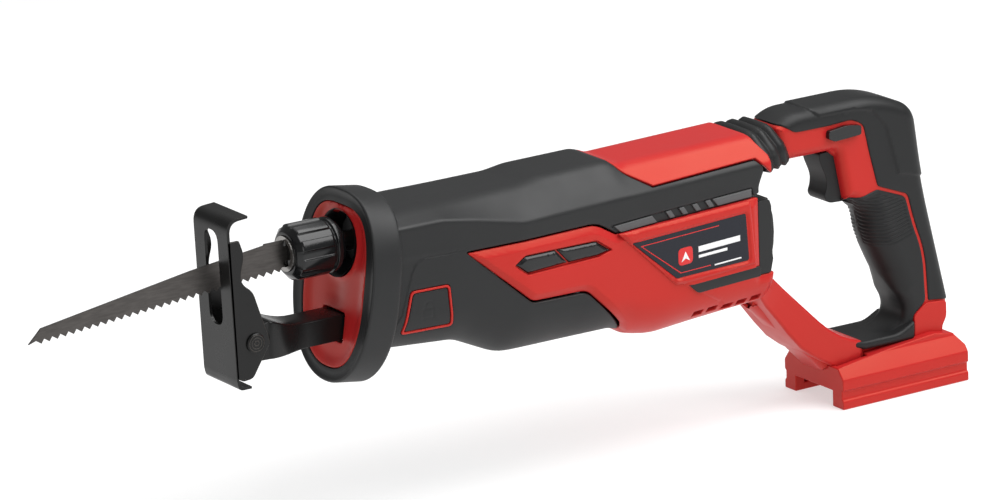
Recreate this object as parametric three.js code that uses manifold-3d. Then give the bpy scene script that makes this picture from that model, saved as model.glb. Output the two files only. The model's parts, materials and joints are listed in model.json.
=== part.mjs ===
// Cordless reciprocating saw with a D handle, as separate parts.
// Millimetres, +X from the blade tip to the handle, +Z up, -Y is the left side of the tool.
// All sizes below are laid out from the stroke axis; the group is then moved so that the origin
// is under the middle of the tool, at the level of the battery foot's underside.
import * as THREE from 'three';
import { mergeVertices } from 'three/addons/utils/BufferGeometryUtils.js';
import { LoftGeometry } from 'three/addons/geometries/LoftGeometry.js';
import Module from 'manifold-3d';

const wasm = await Module();
wasm.setup();

// ---------------------------------------------------------------- driving dimensions
const GAP = 0.3; // clearance between neighbouring parts
const BLADE_TIP_X = -210;
const FOOT_REAR_X = 454;
const FLOOR_Z = -171;
const STROKE = 28;
const CRANK_RADIUS = STROKE / 2;

const COVER_THICKNESS = 2.5; // black front cover
const WALL = 2.6; // red housing shell
const PANEL_PROUD = 0.8; // red side panel above the black cover

const NOSE_LEAN = 9; // degrees, nose flange leans back at the top
const NOSE_CENTRE_Z = -27;
const NOSE_DEPTH = 21.5;
const NOSE_HALF_WIDTH = 45.5;
const NOSE_UP = 61;
const NOSE_DOWN = 58.5;
const PLATE_HALF_WIDTH = 34;
const PLATE_UP = 51;
const PLATE_DOWN = 49;
const CHUCK_HOLE_R = 20.5;

const SHAFT_R = 6;
const SLEEVE_R = 17.3;
const SLEEVE_RIBS = 12;
const BLADE_THICKNESS = 1.25;
const TOOTH_PITCH = 5.5;
const TOOTH_DEPTH = 2.6;

const MOTOR_Z = -28; // axis of the motor and centre of the drive gear
const GEAR_X = 108;
const GEAR_TEETH = 38;
const PINION_TEETH = 9;
const GEAR_MESH_R = 32; // radius on the gear where the pinion runs
const PINION_R = (GEAR_MESH_R * PINION_TEETH) / GEAR_TEETH;
const TOOTH_HEIGHT = 2.5;

const SHOE_FRONT_X = -84;
const SHOE_HALF_WIDTH = 19.5;
const SHOE_SHEET = 1.6;
const SHOE_PIVOT = { x: -68, z: -44.4 };
const ARM_Z = [-58, -42];
const ARM_HALF_WIDTH = 11;
const HANDLE_HALF_WIDTH = 17;
const FOOT_HALF_WIDTH = 32;

// ---------------------------------------------------------------- materials
const paint = {
  red: { color: 0xd2302c, roughness: 0.38, metalness: 0 },
  rubber: { color: 0x2b2d2d, roughness: 0.62, metalness: 0 },
  black: { color: 0x1c1d1e, roughness: 0.42, metalness: 0 },
  grey: { color: 0x6e6f71, roughness: 0.5, metalness: 0 },
  label: { color: 0x12141c, roughness: 0.25, metalness: 0 },
  blackSteel: { color: 0x141414, roughness: 0.3, metalness: 0.6 },
  blade: { color: 0x7c7470, roughness: 0.38, metalness: 0.9 },
  steel: { color: 0xb8b8ba, roughness: 0.3, metalness: 1 },
  aluminium: { color: 0xa6a8ab, roughness: 0.5, metalness: 1 },
  bronze: { color: 0xa07a45, roughness: 0.45, metalness: 1 },
  copper: { color: 0xb0683a, roughness: 0.4, metalness: 1 },
  green: { color: 0x1d5a36, roughness: 0.5, metalness: 0 },
};

// ---------------------------------------------------------------- solids
/** Turns a closed geometry into a solid, with its faces pointing out. */
function solid(geometry) {
  const bare = new THREE.BufferGeometry().copy(geometry);
  bare.deleteAttribute('normal');
  bare.deleteAttribute('uv');
  const merged = mergeVertices(bare, 1e-4);
  const position = merged.attributes.position;
  const index = Array.from(merged.index.array);
  const [a, b, c] = [new THREE.Vector3(), new THREE.Vector3(), new THREE.Vector3()];
  const faces = [];
  let volume = 0;
  for (let i = 0; i < index.length; i += 3) {
    const [p, q, r] = index.slice(i, i + 3);
    if (p === q || q === r || r === p) continue;
    faces.push(p, q, r);
    a.fromBufferAttribute(position, p);
    b.fromBufferAttribute(position, q);
    c.fromBufferAttribute(position, r);
    volume += a.dot(b.cross(c));
  }
  if (volume < 0) faces.reverse();
  return new wasm.Manifold(new wasm.Mesh({
    numProp: 3,
    vertProperties: new Float32Array(position.array),
    triVerts: new Uint32Array(faces),
  }));
}

const join = (...solids) => solids.reduce((sum, next) => sum.add(next));
const cut = (body, ...tools) => tools.reduce((left, tool) => left.subtract(tool), body);

function box([x0, x1], [y0, y1], [z0, z1]) {
  const geometry = new THREE.BoxGeometry(x1 - x0, y1 - y0, z1 - z0);
  return solid(geometry.translate((x0 + x1) / 2, (y0 + y1) / 2, (z0 + z1) / 2));
}

/** Moves every edge of a corner list outward by a distance (inward if negative). */
function grown(corners, distance) {
  const area = corners.reduce((sum, [u, v], i) => {
    const [nextU, nextV] = corners[(i + 1) % corners.length];
    return sum + u * nextV - nextU * v;
  }, 0);
  const turn = Math.sign(area);
  const normal = ([u0, v0], [u1, v1]) => {
    const length = Math.hypot(u1 - u0, v1 - v0);
    return [(turn * (v1 - v0)) / length, (-turn * (u1 - u0)) / length];
  };
  return corners.map(([u, v, radius = 0], i) => {
    const n0 = normal(corners.at(i - 1), corners[i]);
    const n1 = normal(corners[i], corners[(i + 1) % corners.length]);
    const spread = 1 + n0[0] * n1[0] + n0[1] * n1[1];
    return [u + (distance * (n0[0] + n1[0])) / spread, v + (distance * (n0[1] + n1[1])) / spread, radius];
  });
}

/** A closed outline from corners [u, v, radius], each corner rounded by its radius. */
function outline(corners, steps = 3) {
  const points = [];
  corners.forEach(([u, v, radius = 0], i) => {
    const corner = new THREE.Vector2(u, v);
    const before = new THREE.Vector2(...corners.at(i - 1).slice(0, 2));
    const after = new THREE.Vector2(...corners[(i + 1) % corners.length].slice(0, 2));
    if (!radius) {
      points.push(corner);
      return;
    }
    const reach = (other) => Math.min(radius, corner.distanceTo(other) / 2.05);
    const start = corner.clone().lerp(before, reach(before) / corner.distanceTo(before));
    const end = corner.clone().lerp(after, reach(after) / corner.distanceTo(after));
    points.push(...new THREE.QuadraticBezierCurve(start, corner, end).getPoints(steps));
  });
  return new THREE.Shape(points);
}

/** Extrudes corners drawn in (x, z) across the tool, from y0 to y1, with an optional edge bevel. */
function across(corners, [y0, y1], bevel = 0, cornerSteps = 3) {
  const geometry = new THREE.ExtrudeGeometry(outline(corners, cornerSteps), {
    depth: y1 - y0 - 2 * bevel,
    bevelEnabled: bevel > 0,
    bevelThickness: bevel,
    bevelSize: bevel,
    bevelOffset: -bevel,
    bevelSegments: 1,
    curveSegments: 8,
  });
  return solid(geometry.rotateX(Math.PI / 2).translate(0, y1 - bevel, 0));
}

/** Extrudes a shape drawn in (y, z) along the tool, from x0 to x1, with an optional edge bevel. */
function along(shape, [x0, x1], bevel = 0, bevelSegments = 1) {
  const geometry = new THREE.ExtrudeGeometry(shape, {
    depth: x1 - x0 - 2 * bevel,
    bevelEnabled: bevel > 0,
    bevelThickness: bevel,
    bevelSize: bevel,
    bevelOffset: -bevel,
    bevelSegments,
    curveSegments: 8,
  });
  const toX = new THREE.Matrix4().makeBasis(
    new THREE.Vector3(0, 1, 0), new THREE.Vector3(0, 0, 1), new THREE.Vector3(1, 0, 0));
  return solid(geometry.applyMatrix4(toX).translate(x0 + bevel, 0, 0));
}

/** Revolves [x, radius] points, closed on themselves or on the axis, about an axis along X. */
function turned(profile, { y = 0, z = 0, sides = 28 } = {}) {
  const points = profile.map(([x, r]) => new THREE.Vector2(r, x));
  const geometry = new THREE.LatheGeometry(points, sides);
  return solid(geometry.rotateZ(-Math.PI / 2).translate(0, y, z));
}

const rod = ([x0, x1], r, place) => turned([[x0, 0], [x0, r], [x1, r], [x1, 0]], place);
const tube = ([x0, x1], inner, outer, place) =>
  turned([[x0, inner], [x0, outer], [x1, outer], [x1, inner], [x0, inner]], place);

/** A round pin across the tool. */
function pin([y0, y1], r, { x, z }, sides = 24) {
  const geometry = new THREE.CylinderGeometry(r, r, y1 - y0, sides);
  return solid(geometry.translate(x, (y0 + y1) / 2, z));
}

const ringPin = (span, inner, outer, place) =>
  pin(span, outer, place).subtract(pin([span[0] - 1, span[1] + 1], inner, place));

const LEFT = -1;
const RIGHT = 1;
const halfSpace = {
  [LEFT]: box([-400, 600], [-200, -GAP / 2], [-400, 400]),
  [RIGHT]: box([-400, 600], [GAP / 2, 200], [-400, 400]),
};
const sideName = { [LEFT]: 'left', [RIGHT]: 'right' };
const outward = (side, near, far) => (side === LEFT ? [-far, -near] : [near, far]);

// ---------------------------------------------------------------- body surface
/** Straight-line value at x through [x, value] stations. */
function at(stations, x) {
  const next = stations.findIndex(([station]) => station >= x);
  if (next === 0) return stations[0][1];
  if (next < 0) return stations.at(-1)[1];
  const [[x0, v0], [x1, v1]] = [stations[next - 1], stations[next]];
  return v0 + ((v1 - v0) * (x - x0)) / (x1 - x0);
}

// The body's cross-section is an eight-sided form with soft corners: top flat, top chamfer down to
// a crease, upright side, rounded bottom. These say how it changes along the tool.
const BODY = {
  top: [[10, 18.5], [124, 19.6], [138, 21.8], [186, 22.5], [196, 18.2], [300, 20]],
  topHalf: [[10, 23], [110, 23], [196, 21], [300, 22]],
  side: [[10, 36.5], [60, 40], [112, 42], [150, 40], [200, 38], [300, 36]],
  crease: [[10, 12], [55, 13], [78, 9], [112, 1.4], [212, 2.4], [300, 4]],
  bottom: [[10, -66.5], [70, -70], [100, -84], [186, -86], [198, -91], [214, -94], [244, -92], [300, -89]],
};
const BODY_STATIONS = [55, 70, 78, 100, 112, 124, 138, 150, 186, 196, 214, 244, 300];
const BOTTOM_ROUND = 26;

function bodySection(x, grow) {
  const value = Object.fromEntries(Object.entries(BODY).map(([key, list]) => [key, at(list, x)]));
  const side = value.side + grow;
  const bottom = value.bottom - grow;
  const round = BOTTOM_ROUND + grow;
  const half = [
    [value.topHalf - 5, value.top + grow],
    [value.topHalf + 2 + grow * 0.4, value.top - 2 + grow * 0.8],
    [side - 3, value.crease + 3.5 + grow * 0.3],
    [side, value.crease - 3],
    [side, bottom + round],
  ];
  const arcSteps = 5;
  for (let i = 1; i < arcSteps; i++) {
    const angle = (i / arcSteps) * (Math.PI / 2);
    half.push([side - round * (1 - Math.cos(angle)), bottom + round * (1 - Math.sin(angle))]);
  }
  half.push([side - round, bottom]);
  const mirrored = half.map(([y, z]) => [-y, z]);
  return [...mirrored, ...half.reverse()].map(([y, z]) => new THREE.Vector3(x, y, z));
}

/** The body's form from x0 to x1, grown outward (or inward if negative). */
function bodyForm([x0, x1], grow) {
  const stations = [x0, ...BODY_STATIONS.filter((x) => x > x0 && x < x1), x1];
  const sections = stations.map((x) => bodySection(x, grow));
  return solid(new LoftGeometry(sections, { capStart: true, capEnd: true }));
}

// ---------------------------------------------------------------- outlines drawn in (x, z)
const HOUSING_REAR_X = 300;
const PANEL = [
  [70, -11, 2], [165, -11, 6], [180, -20], [284, -16.5], [320, -15.5], [320, -110],
  [192, -110], [186, -80], [157, -51, 5], [116, -49.5, 3],
];
const TOP_COVER = [[172, 40], [186, 16], [209.5, 4.6, 2], [310, 7.6], [310, 40]];
const LABEL = [[191.5, -27.5, 1], [276.8, -24.6, 2], [278.6, -54.8, 2], [223.5, -55.8, 1]];
const LOWER_INSERT = [[233, -62.5], [285, -61], [285, -66.6], [239, -68.3, 2]];
const SIDE_INSERTS = {
  front: [[103.5, -23.8, 1], [111, -19.8, 1], [133, -21.2], [142, -29.6], [112, -30.8, 1]],
  rear: [[134.2, -21.2], [164, -21, 1], [174.5, -28.4, 1], [165, -30.2], [143.2, -29.6]],
};
const VENT_STRIP = [[183, -19.4], [283.5, -15.2], [283.5, -10.4], [177.5, -14.4]];
const BUTTON = [[32, -29, 2], [56.5, -29, 2], [58, -53.4, 2], [26, -53.4, 2]];
const END_CAP = [[288.5, -20], [308, -20], [308, -66.5], [288.5, -66.5]];
const HANDLE = [
  [318, 18.5, 3], [331, 24.6, 6], [397, 25, 14], [426, 12, 8], [433, -36, 20], [452.5, -122, 4],
  [443, -140], [352, -150], [322, -119], [285, -82], [285, -66.5], [300, -66.5], [350, -116.5, 8],
  [364, -126.5, 4], [377, -133, 3], [410, -133, 8], [418.5, -123, 6], [403, -94, 8], [391, -68, 10],
  [389, -52, 10], [378, -39.5, 4], [371.5, -39.5], [365.5, -6], [318, -6],
];
const ARM = [
  [288, -90], [296, -66.8], [300, -66.8], [352, -119], [378, -131], [378, -150], [352, -150],
];
const HANDLE_HOLLOW = [
  [366, 20], [392, 20], [419.6, 7.6], [427.4, -38], [441, -100], [430, -119], [420, -113], [404, -70],
  [398, -45], [378, -8],
];
const OVERMOULD = [
  [319.5, 16.4], [332, 26, 5], [397, 27, 14], [428.5, 13, 8], [435.5, -36, 20], [455, -119, 3],
  [434.5, -117], [432.5, -84, 10], [424, -62, 8], [419, -43.5, 3], [396.5, -34, 3], [386, 9.5, 5],
  [379, 14], [334, 12.5, 3],
];
const OVERMOULD_CORE = [
  [300, -200], [300, 14], [336, 22], [395, 22.4], [422.6, 10], [429.6, -37], [449.2, -125], [449.2, -200],
];
const GRIP = [
  [383, -50, 8], [395.5, -35.5, 2], [417.5, -44, 3], [423, -62, 8], [431, -84, 10], [432.5, -118, 6],
  [422, -124, 6], [420.5, -139.5], [380, -139.5], [374, -131], [400, -130, 8], [413, -122, 6],
  [398, -94, 8], [386, -68, 10],
];
const GRIP_CORE = [
  [400, -20], [392, -52], [394, -67], [406, -93], [422.5, -122], [414, -136.2], [382, -136.2], [376, -200],
  [470, -200], [470, -20],
];
const FOOT_SIDE = [
  [354, -138], [374, -138], [433, -135.5], [451, -143.5], [454, -149], [454, FLOOR_Z, 4], [354, FLOOR_Z, 4],
];
const FOOT_END = [
  [-32, FLOOR_Z], [-32, -151.5], [-24, -141], [-24, -130],
  [24, -130], [24, -141], [32, -151.5], [32, FLOOR_Z],
];
const TRIGGER = [
  [355, -8, 2], [356, -20, 6], [361, -30, 6], [358.5, -37, 3], [364, -40, 3], [376, -40], [378, -8],
];

// ---------------------------------------------------------------- assembly bookkeeping
const saw = new THREE.Group();
saw.position.set(-(BLADE_TIP_X + FOOT_REAR_X) / 2, 0, -FLOOR_Z);

/** The largest piece of a form: thin cuts can leave loose slivers with next to no volume. */
const mainPiece = (form) => form.decompose().sort((a, b) => b.volume() - a.volume())[0];

function add(name, form, finish) {
  const { vertProperties, triVerts } = mainPiece(form).getMesh();
  const geometry = new THREE.BufferGeometry();
  geometry.setAttribute('position', new THREE.BufferAttribute(new Float32Array(vertProperties), 3));
  geometry.setIndex(Array.from(triVerts));
  geometry.computeVertexNormals();
  const mesh = new THREE.Mesh(geometry, new THREE.MeshStandardMaterial(paint[finish]));
  mesh.name = name;
  saw.add(mesh);
}

// ---------------------------------------------------------------- blade and clamp
function sawBlade() {
  const back = [[-98.9, 1.8], [-48, 7.7], [-47.5, 8.6], [-34.6, 8.6], [-34.6, 4.5], [-13, 4.5]];
  const teethStart = new THREE.Vector2(-36, -8);
  const teethEnd = new THREE.Vector2(-205, -20.5);
  const count = Math.round(teethStart.distanceTo(teethEnd) / TOOTH_PITCH);
  const points = [[BLADE_TIP_X, -22], [-201.3, -13.6], ...back, [-13, -4.5], [-34.6, -4.5], [-34.6, -8]];
  for (let i = 0; i < count; i++) {
    const gullet = teethStart.clone().lerp(teethEnd, i / count);
    const tip = teethStart.clone().lerp(teethEnd, (i + 0.35) / count);
    points.push([gullet.x, gullet.y], [tip.x, tip.y - TOOTH_DEPTH]);
  }
  points.push([teethEnd.x, teethEnd.y]);
  return across(points, [-BLADE_THICKNESS / 2, BLADE_THICKNESS / 2]);
}

function bladeHolder() {
  const slot = box([-40, -12.5], [-0.95, 0.95], [-10.9, 8.9]);
  return cut(turned([[-31.9, 0], [-31.9, 9.6], [-5, 9.6], [-4, 8], [-4, 0]]), slot);
}

function clampSleeve() {
  const shell = turned([
    [-32, 11.3], [-32, 13], [-29, 15.6], [-9, 15.6], [-9, 14.6], [-6.5, 14.6], [-6.5, 16.3], [1.5, 16.3],
    [1.5, 10], [-30, 10], [-30, 11.3], [-32, 11.3],
  ], { sides: 36 });
  const ribs = [];
  for (let i = 0; i < SLEEVE_RIBS; i++) {
    const rib = along(outline([
      [-2.6, 15], [-1.8, SLEEVE_R], [1.8, SLEEVE_R], [2.6, 15],
    ]), [-29.5, -9.4], 0.5);
    ribs.push(rib.rotate([(360 * i) / SLEEVE_RIBS, 0, 0]));
  }
  return join(shell, ...ribs);
}

// ---------------------------------------------------------------- shoe
function shoePlate() {
  const [front, sheet] = [SHOE_FRONT_X, SHOE_SHEET];
  const back = front + sheet;
  const bend = [
    [front, -66, 0], [front, 33.5, 9], [-69, 34.6], [-69, 33], [back + 0.4, 32.2, 8], [back, -66],
    [back + 1.5, -70, 2], [-74, -70.6], [-74, -72.2], [front + 1.4, -72.2, 3],
  ];
  const span = [-SHOE_HALF_WIDTH, SHOE_HALF_WIDTH];
  const face = across(bend, span, 0, 5);
  const flange = [
    [front + 0.1, -64], [front + 0.1, 20.3], [-75.5, 20.3], [-72.3, 10.5, 1], [-76.5, 2, 5], [-76, -5, 5],
    [-68.7, -11.5, 2], [-64.5, -30], [-61.3, -46, 1], [-74, -66.5, 2], [-80, -67],
  ];
  const cheeks = [LEFT, RIGHT].map((side) =>
    across(flange, outward(side, SHOE_HALF_WIDTH - sheet, SHOE_HALF_WIDTH)));
  const slot = along(outline([
    [-7.8, -34.5, 7], [7.8, -34.5, 7], [7.8, 25, 7.6], [-7.8, 25, 7.6],
  ], 6), [front - 2, back + 2]);
  const cornerTrim = along(outline([[-30, 40], [-30, 33], [-19.5, 33], [-19.5, 40]]), [-90, -60]);
  const bores = pin([-30, 30], 3.3, SHOE_PIVOT);
  return cut(join(face, ...cheeks), slot, cornerTrim, bores);
}

function shoeArm() {
  const [low, high] = ARM_Z;
  const bar = across([
    [-55, -57.5], [-30, low], [55, low], [55, high], [-18, high], [-30, -43], [-45, -39.5], [-58, -33.5],
    [-64, -36, 2], [-74.5, -42, 3], [-74.5, -50, 4], [-66, -57, 3],
  ], [-ARM_HALF_WIDTH, ARM_HALF_WIDTH], 0.8);
  const fork = across([
    [-56, -57.8], [-40, -57.8], [-38, -42], [-58, -33.2], [-64, -36, 2], [-74.5, -42, 3], [-74.5, -50, 4],
    [-66, -57, 3],
  ], [-SHOE_HALF_WIDTH + SHOE_SHEET + GAP, SHOE_HALF_WIDTH - SHOE_SHEET - GAP], 0.6);
  const hollow = box([-80, -59], [-12, 12], [-70, -25]);
  const bore = pin([-30, 30], 3.3, SHOE_PIVOT);
  const adjustment = box([4, 46], [-4, 4], [low - 1, low + 5]);
  return cut(join(bar, fork), hollow, bore, adjustment);
}

function shoePin() {
  const reach = SHOE_HALF_WIDTH + GAP;
  return join(
    pin([-reach, reach], 3, SHOE_PIVOT),
    pin([-reach - 2, -reach], 5, SHOE_PIVOT),
    pin([reach, reach + 2], 5, SHOE_PIVOT));
}

// ---------------------------------------------------------------- nose
/** Egg outline in (y, z): two half superellipses, fuller at the top. */
function egg(halfWidth, up, down, upPower, downPower, steps = 40) {
  const points = [];
  for (let i = 0; i < steps; i++) {
    const angle = (i / steps) * Math.PI * 2;
    const [c, s] = [Math.cos(angle), Math.sin(angle)];
    const power = 2 / (s > 0 ? upPower : downPower);
    const reach = s > 0 ? up : down;
    points.push(new THREE.Vector2(
      Math.sign(c) * halfWidth * Math.abs(c) ** power,
      NOSE_CENTRE_Z + Math.sign(s) * reach * Math.abs(s) ** power));
  }
  return new THREE.Shape(points);
}

const NOSE_FRONT_X = -1.8; // of the flange's front face, at the height of its centre
function leaned(form) {
  return form.translate([0, 0, -NOSE_CENTRE_Z])
    .rotate([0, NOSE_LEAN, 0])
    .translate([NOSE_FRONT_X, 0, NOSE_CENTRE_Z]);
}

const plateEgg = (grow) =>
  egg(PLATE_HALF_WIDTH + grow, PLATE_UP + grow, PLATE_DOWN + grow, 3.4, 2.4);

function noseFlange() {
  const outer = along(egg(NOSE_HALF_WIDTH, NOSE_UP, NOSE_DOWN, 2.6, 2.15), [0, NOSE_DEPTH], 3, 2);
  const inner = along(plateEgg(GAP), [-5, 30]);
  return leaned(cut(outer, inner));
}

function frontPlate() {
  const disc = leaned(along(plateEgg(0), [1.6, 5.2]));
  const sleeveHole = rod([-20, 30], CHUCK_HOLE_R);
  const [low, high] = ARM_Z;
  const armSlot = box([-20, 30], [-ARM_HALF_WIDTH - 1.5, ARM_HALF_WIDTH + 1.5], [low - 1.5, high + 1.5]);
  return cut(disc, sleeveHole, armSlot);
}

// ---------------------------------------------------------------- housing
const COVER_FRONT_X = 12;
const SHELL_GROW = -COVER_THICKNESS - GAP;
const everywhere = [-80, 80];
const surfaces = {
  cover: bodyForm([COVER_FRONT_X, HOUSING_REAR_X], 0),
  underCover: bodyForm([0, 340], -COVER_THICKNESS),
  shell: bodyForm([34, HOUSING_REAR_X], SHELL_GROW),
  hollow: bodyForm([0, 295], SHELL_GROW - WALL),
  panel: bodyForm([30, HOUSING_REAR_X - 2], PANEL_PROUD),
  inlayTop: bodyForm([30, HOUSING_REAR_X], PANEL_PROUD - 0.4),
  inlayBack: bodyForm([20, 340], PANEL_PROUD - 1.6),
  inlayBed: bodyForm([10, 350], PANEL_PROUD - 1.6 - GAP),
  stripTop: bodyForm([100, 320], 0.3),
  stripBack: bodyForm([90, 340], -1.2),
  stripBed: bodyForm([80, 350], -1.2 - GAP),
};
const behindNose = leaned(box([NOSE_DEPTH + GAP, 500], [-200, 200], [-200, 200]));
const space = (corners, grow = GAP) => across(grown(corners, grow), everywhere);
const inlaySpace = (corners) => space(corners).subtract(surfaces.inlayBed);
const stripSpace = space(VENT_STRIP).subtract(surfaces.stripBed);
const BUTTON_RIM = 1.2; // width of the red surround
const buttonSpace = across(grown(BUTTON, BUTTON_RIM + 2 * GAP), [-60, -20]);
const latchSpace = across(grown(BUTTON, 2 * GAP), [-60, -20]);

// Housing screws go in from the right: place, and the y of the head's seat at the bottom of its recess.
const SCREWS = [
  { x: 92, z: -71, seat: 20 }, { x: 165, z: 7, seat: 20 }, { x: 170, z: -71, seat: 22 },
  { x: 250, z: -75, seat: 20 }, { x: 311, z: -87, seat: 12 }, { x: 340, z: -118, seat: 12 },
  { x: 443.5, z: -131, seat: 10 },
];
const BODY_SCREWS = 4; // the first four stand in bosses inside the hollow body
const SCREW = { shank: 1.6, head: 3.1, headHeight: 2.4, tip: -10 };
const screwRecess = (place) => pin([place.seat, 80], SCREW.head + GAP, place, 16);
const screwBore = (place) => pin([SCREW.tip - 2, place.seat + 1], SCREW.shank + GAP, place, 12);

function screwBosses() {
  const bosses = SCREWS.slice(0, BODY_SCREWS).map((place) => pin([-60, 60], 5.2, place));
  return join(...bosses).intersect(bodyForm([30, 295], SHELL_GROW - 1));
}

function housingScrew(place) {
  const { shank, head, headHeight, tip } = SCREW;
  const top = place.seat + GAP + headHeight;
  const socket = box([-1.3, 1.3], [top - 1.4, top + 1], [-1.3, 1.3]).translate([place.x, 0, place.z]);
  return join(pin([tip, top - 0.5], shank, place, 12), pin([place.seat + GAP, top], head, place, 16))
    .subtract(socket);
}

function frontCover(side) {
  const neighbours = [PANEL, TOP_COVER, END_CAP].map((part) => space(part));
  const skin = cut(surfaces.cover, surfaces.underCover, ...neighbours, stripSpace);
  const trimmed = side === LEFT ? skin.subtract(buttonSpace) : skin;
  return cut(trimmed, ...SCREWS.map(screwRecess)).intersect(behindNose).intersect(halfSpace[side]);
}

function ventStrip(side) {
  const louvres = [];
  for (let x = 211; x < 250; x += 10) {
    louvres.push(across([[x, -22], [x + 5, -22], [x + 2, -9], [x - 3, -9]], everywhere));
  }
  const band = surfaces.stripTop.subtract(surfaces.stripBack).intersect(across(VENT_STRIP, everywhere));
  const cutDepth = bodyForm([90, 340], -0.6);
  return band.subtract(join(...louvres).subtract(cutDepth)).intersect(halfSpace[side]);
}

function inlay(corners, side) {
  return surfaces.inlayTop.subtract(surfaces.inlayBack)
    .intersect(across(corners, everywhere))
    .intersect(halfSpace[side]);
}

function topCover() {
  return bodyForm([150, HOUSING_REAR_X], 0)
    .subtract(bodyForm([140, 320], -COVER_THICKNESS))
    .intersect(across(TOP_COVER, everywhere));
}

function handleForm(grow = 0) {
  const width = HANDLE_HALF_WIDTH + grow;
  return across(grown(HANDLE, grow), [-width, width], 2);
}

function batteryFoot() {
  const block = across(FOOT_SIDE, [-FOOT_HALF_WIDTH, FOOT_HALF_WIDTH])
    .intersect(along(outline(FOOT_END), [340, 470]));
  const channel = join(
    box([350, 446], [-25, 25], [-166, -156]),
    box([340, 446], [-20, 20], [FLOOR_Z - 5, -160]));
  const boardSpace = box([366, 440], [-21, 21], [-153, -144]);
  return cut(block, channel, boardSpace);
}

const overmouldSpace = (grow) => space(OVERMOULD, grow).subtract(
  across(grown(OVERMOULD_CORE, -grow), [-HANDLE_HALF_WIDTH + 2.2 + grow, HANDLE_HALF_WIDTH - 2.2 - grow]));
const gripSpace = (grow) => space(GRIP, grow).subtract(
  across(grown(GRIP_CORE, -grow), [-HANDLE_HALF_WIDTH + 2.2 + grow, HANDLE_HALF_WIDTH - 2.2 - grow]));

/** One half of the red clamshell: body shell, side panel, arm, battery foot and handle core. */
function housing(side) {
  const shell = cut(surfaces.shell, surfaces.hollow);
  const core = bodyForm([0, 340], SHELL_GROW - 1);
  const panel = surfaces.panel.subtract(core).intersect(across(PANEL, everywhere));
  const vents = [];
  for (let x = 226; x < 284; x += 11) {
    vents.push(box([x, x + 8], outward(side, 6, 60), [-87.5, -84]));
  }
  const inlays = [...Object.values(SIDE_INSERTS), LABEL, LOWER_INSERT].map(inlaySpace);
  const body = cut(join(shell, panel, screwBosses()), ...inlays, ...vents, space(END_CAP));
  const handle = across(HANDLE, [-HANDLE_HALF_WIDTH, HANDLE_HALF_WIDTH], 2);
  const arm = across(ARM, [-20, 20], 2);
  const openings = [
    across(HANDLE_HOLLOW, [-12.5, 12.5]),
    box([330, 372], [-12.5, 12.5], [-3, 19]),
    box([340, 388], [-10.2, 10.2], [-41, -5.2]),
    box([355.6, 382.4], [-60, 60], [2.4, 11.2]),
  ];
  const frame = cut(join(handle, arm, batteryFoot()), ...openings, surfaces.hollow);
  const screwHoles = SCREWS.flatMap((place) => [screwRecess(place), screwBore(place)]);
  const whole = cut(join(body, frame), overmouldSpace(GAP), gripSpace(GAP), ...screwHoles)
    .intersect(halfSpace[side]);
  return side === LEFT ? whole.subtract(latchSpace) : whole;
}

const handleOvermould = () => handleForm(0.5).intersect(overmouldSpace(0));
const frontGrip = () => handleForm(0.5).intersect(gripSpace(0));

function endCap() {
  return bodyForm([289, 303.5], 0.2).intersect(across(END_CAP, everywhere))
    .subtract(box([280, 300], [-29, 29], [-63, -23]));
}

/** Soft concertina sleeve between the body and the handle. */
function bellows() {
  const [front, rear] = [HOUSING_REAR_X + GAP, 317.6];
  const ribs = 3;
  const steps = ribs * 4;
  const sections = [];
  for (let i = 0; i <= steps; i++) {
    const t = i / steps;
    const x = front + (rear - front) * t;
    const swell = -1.4 * Math.cos(t * ribs * 2 * Math.PI);
    const [width, top, bottom] = [18.6 - 2 * t + swell, 18.6 + 1.4 * t + swell, -4.5 - 0.5 * t - swell];
    const ring = [
      [width, bottom + 5], [width, 5], [width - 8, top - 1], [width - 11, top],
      [-width + 11, top], [-width + 8, top - 1], [-width, 5], [-width, bottom + 5], [-width + 5, bottom],
      [width - 5, bottom],
    ];
    sections.push(ring.map(([y, z]) => new THREE.Vector3(x, y, z)));
  }
  return solid(new LoftGeometry(sections, { capStart: true, capEnd: true }));
}

// ---------------------------------------------------------------- controls
const trigger = () => across(TRIGGER, [-9, 9], 1.2);

function lockOffSlider() {
  const bar = box([356.2, 381.8], [-19, 19], [3, 10.6]);
  const ridges = [LEFT, RIGHT].map((side) => box([360, 379], outward(side, 18.9, 19.8), [6, 7.6]));
  return join(bar, ...ridges);
}

function lockButton() {
  const face = surfaces.cover.subtract(surfaces.underCover).intersect(across(BUTTON, [-60, -20]));
  const stem = box([38, 46], [-35, -14.6], [-47, -39]);
  return join(face, box([36, 50], [-38.4, -34.5], [-50, -36]), stem);
}

function buttonSurround() {
  const window = across(grown(BUTTON, GAP), [-70, -10]);
  const rim = across(grown(BUTTON, BUTTON_RIM + GAP), [-60, -20]).subtract(window);
  return bodyForm([10, 80], 0.5).subtract(surfaces.underCover).intersect(rim);
}

// ---------------------------------------------------------------- drive train
const motorAxis = { z: MOTOR_Z };

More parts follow.
